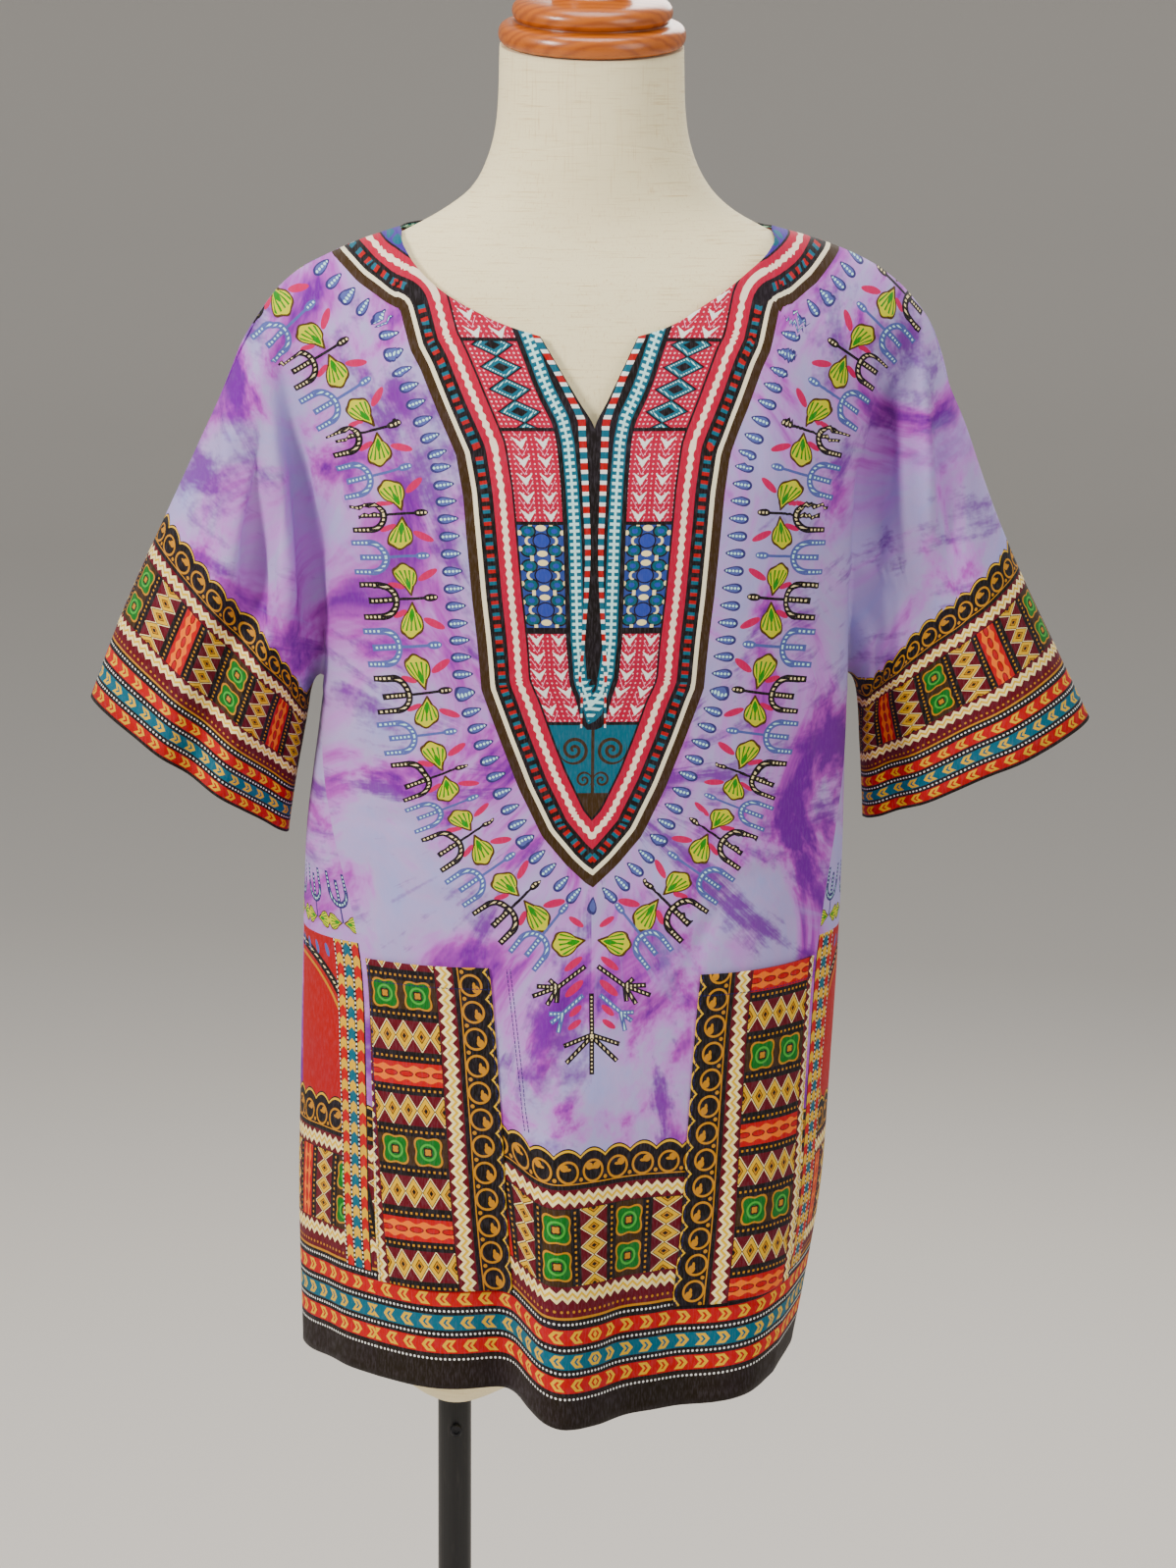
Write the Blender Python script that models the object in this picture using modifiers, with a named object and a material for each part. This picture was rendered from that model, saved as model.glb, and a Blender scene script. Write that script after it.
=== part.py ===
"""Dashiki shirt on a linen dress form with a wooden neck cap, a black pole and a round base.

Metres, +Z up, the front of the shirt faces -Y and the viewer's left is -X.
The shirt is one length of cotton folded over the shoulders, with kimono sleeves. It is
divided along the shoulder and overarm fold into a front and a back, and sewn at the sides.
"""

import math

import bmesh
import bpy
import mathutils

# Cloth
CLOTH = 0.0012
POCKET_CLOTH = 0.0012
SEAM_GAP = 0.0008
UNDERARM_EASE = 0.0008
NECK_EASE = 0.0006
NECK_FLARE = 0.80
ROLL_WIDTH = 0.006
ROLL_DEPTH = 0.011
POCKET_GAP = 0.0004
SEAM_PLANE = 0.008
SMOOTH_EDGE = 6.0

# Levels of the shirt, in metres above the floor
UNDERARM = 1.060
SLIT_FOOT = 1.234
SLIT_TOP = 1.290
FRONT_CENTRE = -0.005

# The whole part is moved over so that its origin lies under the middle of its width
MIDDLE = 0.00395

# Stand
POLE_X = -0.0885
POLE_RADIUS = 0.01125
POLE_TOP = 0.700
POLE_FOOT = 0.0045
SOCKET_PLAY = 0.0004
BASE_RADIUS = 0.180
BASE_HEIGHT = 0.011
HUB_RADIUS = 0.021
HUB_HEIGHT = 0.034
SCREW_HEIGHT = 0.5475
CAP_TILT = math.radians(10.0)
CAP_PIVOT = 1.4715
CAP_FORWARD = -0.001

# Shirt's body, seen from the front: edge left, edge right, depth front, depth back, squareness
BODY = {
    "columns": ("height", "left", "right", "front", "back", "square"),
    "rows": (
        (0.590, 0.1905, 0.137, 0.133, 0.128, 2.15),
        (0.630, 0.1915, 0.145, 0.132, 0.127, 2.15),
        (0.670, 0.1925, 0.152, 0.130, 0.126, 2.15),
        (0.720, 0.1930, 0.159, 0.127, 0.124, 2.18),
        (0.790, 0.1915, 0.163, 0.123, 0.120, 2.20),
        (0.880, 0.1890, 0.167, 0.119, 0.115, 2.25),
        (0.960, 0.1860, 0.169, 0.118, 0.113, 2.30),
        (1.010, 0.1800, 0.170, 0.120, 0.114, 2.35),
        (1.060, 0.1740, 0.171, 0.123, 0.115, 2.45),
        (1.110, 0.1750, 0.171, 0.126, 0.115, 2.55),
        (1.160, 0.1810, 0.173, 0.126, 0.114, 2.60),
        (1.200, 0.1885, 0.179, 0.122, 0.112, 2.55),
        (1.240, 0.1965, 0.188, 0.112, 0.107, 2.45),
        (1.270, 0.2050, 0.202, 0.102, 0.101, 2.35),
        (1.290, 0.2120, 0.215, 0.094, 0.095, 2.28),
        (1.304, 0.2100, 0.215, 0.088, 0.091, 2.22),
        (1.314, 0.2040, 0.208, 0.084, 0.088, 2.18),
        (1.325, 0.1930, 0.196, 0.079, 0.084, 2.12),
        (1.336, 0.1720, 0.178, 0.074, 0.079, 2.08),
        (1.346, 0.1510, 0.154, 0.070, 0.074, 2.05),
        (1.356, 0.1250, 0.125, 0.066, 0.069, 2.00),
        (1.368, 0.1080, 0.108, 0.063, 0.066, 2.00),
        (1.400, 0.0760, 0.076, 0.062, 0.060, 2.00),
    ),
}

# Outer edge of the sleeves from the shoulder to the cuff, left and right
OVERARM = {
    "columns": ("along", "left_x", "left_z", "right_x", "right_z"),
    "rows": (
        (0.00, 0.2040, 1.3140, 0.2080, 1.3140),
        (0.07, 0.2130, 1.2985, 0.2190, 1.2960),
        (0.20, 0.2270, 1.2690, 0.2325, 1.2660),
        (0.36, 0.2440, 1.2370, 0.2470, 1.2300),
        (0.52, 0.2610, 1.2010, 0.2630, 1.1850),
        (0.68, 0.2800, 1.1600, 0.2820, 1.1390),
        (0.84, 0.3040, 1.1080, 0.3060, 1.0900),
        (1.00, 0.3270, 1.0480, 0.3350, 1.0315),
    ),
}

# Lower edge of the sleeves from the underarm to the cuff, left and right
UNDERSLEEVE = {
    "columns": ("along", "left_x", "left_z", "right_x", "right_z"),
    "rows": (
        (0.00, 0.1740, 1.0600, 0.1710, 1.0600),
        (0.08, 0.1795, 1.0560, 0.1765, 1.0560),
        (0.25, 0.1840, 1.0400, 0.1800, 1.0400),
        (0.50, 0.1890, 1.0160, 0.1822, 1.0160),
        (0.75, 0.1940, 0.9880, 0.1838, 0.9900),
        (1.00, 0.1985, 0.9570, 0.1850, 0.9640),
    ),
}

# Sleeve slices by height: outer edge and inner edge of each side, half depth
SLEEVE = {
    "columns": ("height", "left_out", "left_in", "right_out", "right_in", "depth"),
    "rows": (
        (0.900, 0.390, 0.2060, 0.393, 0.1880, 0.050),
        (0.957, 0.364, 0.1985, 0.370, 0.1850, 0.052),
        (1.000, 0.347, 0.1915, 0.351, 0.1830, 0.053),
        (1.040, 0.330, 0.1840, 0.331, 0.1800, 0.052),
        (1.056, 0.324, 0.1780, 0.323, 0.1750, 0.052),
        (1.090, 0.311, 0.1640, 0.306, 0.1600, 0.051),
        (1.139, 0.290, 0.1660, 0.282, 0.1590, 0.049),
        (1.185, 0.268, 0.1730, 0.263, 0.1650, 0.047),
        (1.230, 0.2475, 0.1820, 0.247, 0.1750, 0.044),
        (1.266, 0.2285, 0.1920, 0.2325, 0.1880, 0.038),
        (1.296, 0.2145, 0.2030, 0.219, 0.2050, 0.028),
        (1.320, 0.2000, 0.1960, 0.200, 0.1960, 0.012),
    ),
}

# Folds down the sleeves: place across from the overarm 0 to the underarm 1, height, width
SLEEVE_FOLDS = {
    "columns": ("side", "face", "across", "drift", "rise", "width"),
    "rows": (
        (-1, "front", 0.30, 0.06, 0.0060, 0.075),
        (-1, "front", 0.47, 0.03, -0.0085, 0.070),
        (-1, "front", 0.66, -0.02, 0.0075, 0.070),
        (-1, "front", 0.86, 0.00, -0.0080, 0.060),
        (1, "front", 0.26, 0.05, 0.0050, 0.080),
        (1, "front", 0.52, 0.04, -0.0060, 0.080),
        (1, "front", 0.72, 0.00, 0.0070, 0.060),
        (1, "front", 0.88, -0.02, -0.0075, 0.050),
        (-1, "back", 0.38, 0.04, 0.0060, 0.090),
        (-1, "back", 0.64, -0.03, -0.0080, 0.080),
        (1, "back", 0.34, 0.05, 0.0055, 0.090),
        (1, "back", 0.58, 0.00, -0.0070, 0.080),
        (1, "back", 0.80, -0.03, 0.0040, 0.060),
    ),
}

# Folds down the body: angle round from the front centre at the hem and at the top, outward
# height at the hem, half width in degrees, height where the fold has died out
BODY_FOLDS = {
    "columns": ("at_hem", "at_top", "rise", "half_width", "fades_at"),
    "rows": (
        (-6.5, -8.0, 0.0370, 8.0, 0.930),
        (-16.5, -15.0, -0.0150, 6.0, 0.900),
        (22.0, 18.0, -0.0080, 9.0, 0.860),
        (41.0, 44.0, 0.0060, 10.0, 0.900),
        (-33.0, -36.0, 0.0045, 9.0, 0.880),
        (-68.0, -72.0, -0.0060, 11.0, 0.960),
        (72.0, 75.0, -0.0050, 10.0, 0.940),
        (118.0, 112.0, 0.0090, 12.0, 1.000),
        (146.0, 150.0, -0.0100, 11.0, 0.980),
        (171.0, 168.0, 0.0150, 10.0, 0.950),
        (-166.0, -170.0, -0.0080, 9.0, 0.900),
        (-143.0, -148.0, 0.0130, 11.0, 0.990),
        (-112.0, -108.0, -0.0060, 12.0, 0.960),
    ),
}

# Height of the hem round the body
HEM = {
    "columns": ("angle", "height"),
    "rows": (
        (-180.0, 0.610),
        (-130.0, 0.610),
        (-90.0, 0.611),
        (-60.0, 0.613),
        (-30.0, 0.611),
        (-15.0, 0.610),
        (-6.0, 0.598),
        (10.0, 0.597),
        (30.0, 0.597),
        (55.0, 0.604),
        (90.0, 0.608),
        (130.0, 0.612),
        (180.0, 0.610),
    ),
}

# Side seams: angle round from the front centre at each height
SIDE_SEAM = {
    "columns": ("height", "left", "right"),
    "rows": (
        (0.590, 46.0, 58.0),
        (0.700, 47.5, 57.5),
        (0.800, 49.0, 57.5),
        (0.890, 51.5, 59.0),
        (0.950, 60.0, 66.0),
        (1.000, 73.0, 76.0),
        (1.040, 85.0, 86.0),
        (1.060, 90.0, 90.0),
    ),
}

# Share of the front's width where the pocket's inner edge lies
POCKET_EDGE = {
    "columns": ("up", "left", "right"),
    "rows": (
        (0.000, 0.310, 0.305),
        (0.145, 0.320, 0.312),
        (0.618, 0.375, 0.345),
        (1.000, 0.420, 0.420),
    ),
}
POCKET_SHARE = 0.42

# Neckline from the head of the front slit to the neck point, left and right, and the back
NECKLINE = {
    "columns": ("along", "left_x", "left_z", "right_x", "right_z", "back_x", "back_z"),
    "rows": (
        (0.00, 0.0380, 1.2900, 0.0235, 1.2900, 0.0000, 1.3660),
        (0.16, 0.0560, 1.2965, 0.0410, 1.2960, 0.0240, 1.3655),
        (0.33, 0.0750, 1.3035, 0.0610, 1.3060, 0.0470, 1.3645),
        (0.50, 0.0920, 1.3125, 0.0790, 1.3170, 0.0690, 1.3625),
        (0.67, 0.1070, 1.3235, 0.0950, 1.3290, 0.0890, 1.3600),
        (0.83, 0.1185, 1.3370, 0.1085, 1.3400, 0.1070, 1.3575),
        (0.93, 0.1243, 1.3490, 0.1165, 1.3505, 0.1155, 1.3565),
        (1.00, 0.1235, 1.3550, 0.1180, 1.3560, 0.1210, 1.3550),
    ),
}

# Shoulder line from the neck point to the head of the sleeve
SHOULDER = {
    "columns": ("along", "left_x", "left_z", "right_x", "right_z"),
    "rows": (
        (0.00, 0.1235, 1.3550, 0.1180, 1.3560),
        (0.30, 0.1480, 1.3470, 0.1440, 1.3490),
        (0.60, 0.1700, 1.3370, 0.1740, 1.3375),
        (0.82, 0.1900, 1.3265, 0.1930, 1.3265),
        (1.00, 0.2040, 1.3140, 0.2080, 1.3140),
    ),
}

# Dress form: middle, half width, depth front, depth back, squareness at each height. Its
# shoulders stand 0.3 mm under the cloth beside the neck, where the shirt hangs from them
FORM = {
    "columns": ("height", "middle", "half", "front", "back", "square"),
    "rows": (
        (0.620, -0.0180, 0.1480, 0.092, 0.098, 2.20),
        (0.675, -0.0180, 0.1555, 0.102, 0.109, 2.25),
        (0.740, -0.0175, 0.1585, 0.106, 0.112, 2.30),
        (0.800, -0.0165, 0.1560, 0.104, 0.108, 2.30),
        (0.870, -0.0140, 0.1450, 0.100, 0.100, 2.25),
        (0.940, -0.0110, 0.1360, 0.095, 0.090, 2.20),
        (1.000, -0.0080, 0.1380, 0.098, 0.090, 2.20),
        (1.060, -0.0050, 0.1460, 0.105, 0.094, 2.25),
        (1.120, -0.0030, 0.1540, 0.111, 0.098, 2.30),
        (1.170, -0.0020, 0.1610, 0.112, 0.100, 2.35),
        (1.215, -0.0020, 0.1710, 0.109, 0.099, 2.35),
        (1.250, -0.0020, 0.1800, 0.102, 0.096, 2.28),
        (1.280, -0.0010, 0.1870, 0.093, 0.091, 2.20),
        (1.300, -0.0010, 0.1880, 0.086, 0.087, 2.15),
        (1.314, -0.0010, 0.1810, 0.081, 0.083, 2.10),
        (1.325, -0.0015, 0.1704, 0.076, 0.079, 2.05),
        (1.336, -0.0015, 0.1544, 0.070, 0.074, 2.02),
        (1.346, -0.0015, 0.1343, 0.0655, 0.069, 2.00),
        (1.354, -0.0015, 0.1174, 0.0625, 0.065, 2.00),
        (1.366, -0.0015, 0.0954, 0.0600, 0.061, 2.00),
        (1.380, 0.0000, 0.0785, 0.0590, 0.058, 2.00),
        (1.400, 0.0000, 0.0675, 0.0590, 0.057, 2.00),
        (1.425, 0.0000, 0.0618, 0.0590, 0.056, 2.00),
        (1.471, 0.0000, 0.0600, 0.0590, 0.057, 2.00),
    ),
}

# Columns of the front, as shares of the way from the centre to the side seam or armhole
FRONT_COLUMNS = (
    0.0,
    0.07,
    0.14,
    0.21,
    0.28,
    0.35,
    0.42,
    0.475,
    0.515,
    0.55,
    0.60,
    0.66,
    0.73,
    0.80,
    0.87,
    0.93,
    0.97,
    1.0,
)
BACK_COLUMNS = (0.0, 0.12, 0.24, 0.36, 0.46, 0.53, 0.575, 0.60, 0.68, 0.76, 0.84, 0.92, 1.0)
NECK_SHARE = 0.60
POCKET_COLUMNS = (6, 16)
POCKET_ROWS = (2, 10)
LOWER_ROWS = (
    0.0,
    0.07,
    0.145,
    0.205,
    0.265,
    0.325,
    0.385,
    0.445,
    0.505,
    0.56,
    0.618,
    0.70,
    0.79,
    0.87,
    0.94,
    1.0,
)
UPPER_ROWS = (
    0.0,
    0.08,
    0.16,
    0.24,
    0.32,
    0.41,
    0.50,
    0.59,
    0.68,
    0.7565,
    0.83,
    0.90,
    0.945,
    0.977,
    1.0,
)
SLEEVE_COLUMNS = (0.0, 0.07, 0.16, 0.26, 0.37, 0.48, 0.60, 0.73, 0.86, 1.0)


def at(table, key, name):
    """Value of a named column at a key of the first column, on a smooth curve."""
    rows = table["rows"]
    column = table["columns"].index(name)
    keys = [row[0] for row in rows]
    values = [row[column] for row in rows]
    if key <= keys[0]:
        return values[0]
    if key >= keys[-1]:
        return values[-1]
    i = max(j for j in range(len(keys)) if keys[j] <= key)
    span = keys[i + 1] - keys[i]
    t = (key - keys[i]) / span

    def slope(j):
        low = max(j - 1, 0)
        high = min(j + 1, len(keys) - 1)
        return (values[high] - values[low]) / (keys[high] - keys[low])

    a = slope(i) * span
    b = slope(i + 1) * span
    rise = values[i + 1] - values[i]
    return values[i] + t * a + t * t * (3 * rise - 2 * a - b) + t * t * t * (a + b - 2 * rise)


def mix(a, b, t):
    return a + (b - a) * t


def ease(low, high, value):
    t = min(max((value - low) / (high - low), 0.0), 1.0)
    return t * t * (3.0 - 2.0 * t)


def blade(share, power):
    """Depth of a rounded section at a share of its half width."""
    rest = 1.0 - min(abs(share), 1.0) ** power
    return max(rest, 0.0) ** (1.0 / power)


def side_name(side):
    return "left" if side < 0 else "right"


def fold_rise(angle, height):
    """How far the body folds push the wall out at an angle from the front centre."""
    total = 0.0
    for at_hem, at_top, rise, half_width, fades_at in BODY_FOLDS["rows"]:
        if height >= fades_at:
            continue
        share = (height - 0.60) / (fades_at - 0.60)
        centre = mix(at_hem, at_top, share)
        away = (angle - centre + 180.0) % 360.0 - 180.0
        strength = (1.0 - ease(0.0, 1.0, share)) * rise
        total += strength * math.exp(-((away / half_width) ** 2))
    return total


def ring_point(angle, height):
    """Point of the body wall below the underarm at an angle from the front centre."""
    turn = math.radians(angle)
    side = 1.0 if math.sin(turn) >= 0.0 else -1.0
    half = at(BODY, height, "right" if side > 0 else "left")
    deep = at(BODY, height, "front" if math.cos(turn) > 0 else "back")
    power = at(BODY, height, "square")
    lift = fold_rise(angle, height)
    x = side * half * abs(math.sin(turn)) ** (2.0 / power)
    y = -deep * math.copysign(abs(math.cos(turn)) ** (2.0 / power), math.cos(turn))
    x += lift * math.sin(turn)
    y -= lift * math.cos(turn)
    shift = SEAM_PLANE * ease(UNDERARM - 0.12, UNDERARM, height) * abs(math.sin(turn)) ** 4
    return (x, y + shift, height)


def body_depth(x, z, face):
    side = 1.0 if x >= 0.0 else -1.0
    half = at(BODY, z, "right" if side > 0 else "left")
    return at(BODY, z, face) * blade(x / half, at(BODY, z, "square"))


def sleeve_depth(x, z):
    """Depth of the sleeve in front of its own middle plane, without folds."""
    name = side_name(x)
    out = at(SLEEVE, z, name + "_out")
    inner = at(SLEEVE, z, name + "_in")
    middle = 0.5 * (out + inner)
    half = 0.5 * (out - inner)
    return at(SLEEVE, z, "depth") * blade((abs(x) - middle) / half, 2.0)


def sheet_depth(x, z, face):
    """Depth of the whole sheet above the underarm: body and sleeve flow into each other."""
    a = max(body_depth(x, z, face), 0.0)
    b = max(sleeve_depth(x, z), 0.0)
    return (a**SMOOTH_EDGE + b**SMOOTH_EDGE) ** (1.0 / SMOOTH_EDGE)


def half_gap(x, z):
    """Half the gap at the seam, a little wider round the underarm and at the neck point."""
    underarm = math.hypot(abs(x) - 0.1725, z - UNDERARM) / 0.012
    neck_point = math.hypot(abs(x) - 0.121, z - 1.355) / 0.006
    ease_in = UNDERARM_EASE * math.exp(-(underarm**2)) + NECK_EASE * math.exp(-(neck_point**2))
    return 0.5 * SEAM_GAP + ease_in


def rolled(depth, away):
    """Depth close to a folded edge, where the cloth turns straight back."""
    share = min(away / ROLL_WIDTH, 1.0)
    roll = ROLL_DEPTH * math.sqrt(max(1.0 - (1.0 - share) ** 2, 0.0))
    return (max(depth, 0.0) ** SMOOTH_EDGE + roll**SMOOTH_EDGE) ** (1.0 / SMOOTH_EDGE)


def sheet_point(x, z, depth, face):
    """Point in front of or behind the seam plane, half the seam gap away from it."""
    plane = SEAM_PLANE * ease(0.10, 0.17, abs(x)) * (1.0 - ease(1.30, 1.36, z) * 0.5)
    if face == "front":
        return (x, plane - depth - half_gap(x, z), z)
    return (x, plane + depth + half_gap(x, z), z)


def upper_share(t, share):
    """Way up at a row, with the rows close together where the cloth turns over the shoulder."""
    round_off = ease(NECK_SHARE - 0.18, NECK_SHARE + 0.20, share)
    return mix(t, math.sin(0.5 * math.pi * t), round_off)


def upper_point(side, share, t, face):
    """Point between the underarm level and the neckline or shoulder line."""
    name = side_name(side)
    angle = 90.0 * share if face == "front" else 180.0 - 90.0 * share
    foot_x, foot_y, foot_z = ring_point(side * angle, UNDERARM)
    if share <= NECK_SHARE:
        along = share / NECK_SHARE
        if face == "front":
            top_x = at(NECKLINE, along, name + "_x")
            top_z = at(NECKLINE, along, name + "_z")
        else:
            neck = at(SHOULDER, 0.0, name + "_x") / 0.121
            top_x = at(NECKLINE, along, "back_x") * neck
            top_z = at(NECKLINE, along, "back_z")
    else:
        along = (share - NECK_SHARE) / (1.0 - NECK_SHARE)
        top_x = at(SHOULDER, along, name + "_x")
        top_z = at(SHOULDER, along, name + "_z")
    rise = upper_share(t, share)
    z = mix(foot_z, top_z, rise)
    x = mix(abs(foot_x), top_x, rise)
    if face == "front":
        closed = side * FRONT_CENTRE * ease(UNDERARM, 1.16, z)
        opened = max(z - SLIT_FOOT, 0.0) / (SLIT_TOP - SLIT_FOOT)
        x = mix(mix(closed, top_x, opened), x, ease(0.0, 0.20, share))
        beside_neck = ease(0.53, NECK_SHARE, share) * (1.0 - ease(NECK_SHARE, 0.95, share))
        x += NECK_FLARE * rise**30 * (1.0 - rise) * beside_neck
    bow = armhole_bow(name, z) * share**3
    x = side * (x + bow)
    depth = sheet_depth(x, z, face)
    if share >= NECK_SHARE:
        depth = rolled(depth, math.hypot(top_x - abs(x), top_z - z)) if t < 1.0 else 0.0
    point = sheet_point(x, z, depth, face)
    if t <= 0.0:
        part = half_gap(foot_x, foot_z) * share**8
        return (foot_x, foot_y - part if face == "front" else foot_y + part, foot_z)
    return point


def armhole_bow(name, z):
    """How far the body's edge stands off a straight line from the underarm to the shoulder."""
    low = at(BODY, UNDERARM, name)
    high = at(SHOULDER, 1.0, name + "_x")
    share = (z - UNDERARM) / (1.314 - UNDERARM)
    line = mix(low, high, share)
    return (at(BODY, z, name) - line) * ease(0.0, 0.1, share) * (1.0 - ease(0.80, 1.0, share))


def lower_point(side, share, v, face):
    """Point between the hem and the underarm level."""
    name = side_name(side)
    if face == "front":
        hump = share * (1.0 - share) / (POCKET_SHARE * (1.0 - POCKET_SHARE))
        share += (at(POCKET_EDGE, v, name) - POCKET_SHARE) * hump
    angle = 90.0
    height = UNDERARM
    for _ in range(4):
        seam = at(SIDE_SEAM, height, name)
        turn = math.degrees(half_gap(0.1725, height) / 0.16)
        if face == "front":
            angle = side * (seam - turn) * share
        else:
            angle = side * (180.0 - (180.0 - seam - turn) * share)
        hem = at(HEM, (angle + 180.0) % 360.0 - 180.0, "height")
        height = mix(hem, UNDERARM, v)
    return ring_point(angle, height)


def sleeve_fold(side, face, across, along):
    total = 0.0
    for row_side, row_face, place, drift, rise, width in SLEEVE_FOLDS["rows"]:
        if row_side != side or row_face != face:
            continue
        centre = place + drift * along
        total += rise * math.exp(-(((across - centre) / width) ** 2))
    return total * ease(0.0, 0.35, along) * math.sin(math.pi * min(max(across, 0.0), 1.0)) ** 0.5


def sleeve_point(side, along, t, face):
    """Point of the sleeve from the armhole line 0 to the cuff 1, underarm 0 to overarm 1."""
    name = side_name(side)
    if along <= 0.0:
        return upper_point(side, 1.0, t, face)
    foot_x = at(UNDERSLEEVE, along, name + "_x")
    foot_z = at(UNDERSLEEVE, along, name + "_z")
    top_x = at(OVERARM, along, name + "_x")
    top_z = at(OVERARM, along, name + "_z")
    first = math.sin(0.5 * math.pi * t)
    even = 0.5 - 0.5 * math.cos(math.pi * t)
    rise = mix(first, even, ease(0.0, 0.5, along))
    x = mix(foot_x, top_x, rise)
    z = mix(foot_z, top_z, rise)
    x += armhole_bow(name, z) * (1.0 - ease(0.0, 0.45, along))
    x = side * x
    if t <= 0.0 or t >= 1.0:
        return sheet_point(x, z, 0.0, face)
    depth = sheet_depth(x, z, face)
    depth += sleeve_fold(side, face, 1.0 - rise, along) * ease(0.0, 0.012, depth)
    edge = min(math.hypot(abs(x) - foot_x, z - foot_z), math.hypot(abs(x) - top_x, z - top_z))
    return sheet_point(x, z, rolled(depth, edge), face)


def grid(build, points):
    """Add a grid of points with faces between them."""
    rows = [[build.verts.new(p) for p in row] for row in points]
    for low, high in zip(rows, rows[1:]):
        for i in range(len(low) - 1):
            build.faces.new((low[i], low[i + 1], high[i + 1], high[i]))


def half_points(side, face, columns):
    """Grid of one half of the front or back, from the hem to the neckline and shoulder."""
    points = []
    for v in LOWER_ROWS[:-1]:
        points.append([lower_point(side, share, v, face) for share in columns])
    for t in UPPER_ROWS:
        points.append([upper_point(side, share, t, face) for share in columns])
    return points


def sleeve_points(side, face):
    points = []
    for t in UPPER_ROWS:
        points.append([sleeve_point(side, along, t, face) for along in SLEEVE_COLUMNS])
    return points


def panel_mesh(face):
    """Open middle surface of the front or the back with its two half sleeves."""
    columns = FRONT_COLUMNS if face == "front" else BACK_COLUMNS
    build = bmesh.new()
    for side in (-1, 1):
        grid(build, half_points(side, face, columns))
        grid(build, sleeve_points(side, face))
    bmesh.ops.remove_doubles(build, verts=build.verts, dist=0.00002)
    bmesh.ops.recalc_face_normals(build, faces=build.faces)
    middle = max(build.faces, key=lambda f: abs(f.normal.y) * f.calc_area())
    outward = -1.0 if face == "front" else 1.0
    if middle.normal.y * outward < 0.0:
        bmesh.ops.reverse_faces(build, faces=build.faces)
    return build


def finish_mesh(name, build, collection, smooth=True):
    mesh = bpy.data.meshes.new(name)
    build.to_mesh(mesh)
    build.free()
    if smooth:
        mesh.polygons.foreach_set("use_smooth", [True] * len(mesh.polygons))
    made = bpy.data.objects.new(name, mesh)
    collection.objects.link(made)
    return made


def thicken(piece, thickness):
    shell = piece.modifiers.new("Cloth thickness", "SOLIDIFY")
    shell.thickness = thickness
    shell.offset = 0.0
    shell.use_even_offset = True
    shell.use_quality_normals = True
    return piece


def pocket(side, front, collection):
    """Patch pocket made from the front's own points, moved out."""
    columns = FRONT_COLUMNS[POCKET_COLUMNS[0] : POCKET_COLUMNS[1] + 1]
    rows = LOWER_ROWS[POCKET_ROWS[0] : POCKET_ROWS[1] + 1]
    out = 0.5 * CLOTH + POCKET_GAP + 0.5 * POCKET_CLOTH
    front.verts.ensure_lookup_table()
    front.normal_update()
    build = bmesh.new()
    points = []
    for v in rows:
        line = []
        for share in columns:
            here = mathutils.Vector(lower_point(side, share, v, "front"))
            nearest = min(front.verts, key=lambda p: (p.co - here).length)
            line.append(tuple(nearest.co + nearest.normal * out))
        points.append(line)
    grid(build, points)
    bmesh.ops.recalc_face_normals(build, faces=build.faces)
    name = "pocket_left" if side < 0 else "pocket_right"
    return thicken(finish_mesh(name, build, collection), POCKET_CLOTH)


def form_ring(height, count):
    middle = at(FORM, height, "middle")
    half = at(FORM, height, "half")
    power = at(FORM, height, "square")
    points = []
    for i in range(count):
        turn = 2.0 * math.pi * i / count
        deep = at(FORM, height, "front" if math.cos(turn) > 0 else "back")
        x = middle + half * math.copysign(abs(math.sin(turn)) ** (2.0 / power), math.sin(turn))
        y = -deep * math.copysign(abs(math.cos(turn)) ** (2.0 / power), math.cos(turn))
        lean = math.tan(CAP_TILT) * y * ease(1.38, 1.47, height)
        points.append((x, y, height + lean))
    return points


def hip_underside(x, y, rim):
    """Two rounded hip ends with a hollow between them, rim 1 at the edge and 0 at the middle."""
    middle = -0.018
    lobe = math.exp(-(((abs(x - middle) - 0.079) / 0.050) ** 2))
    dome = max(1.0 - rim**2.4, 0.0) ** 0.55
    return 0.620 - dome * (0.016 + 0.040 * lobe)


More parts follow.
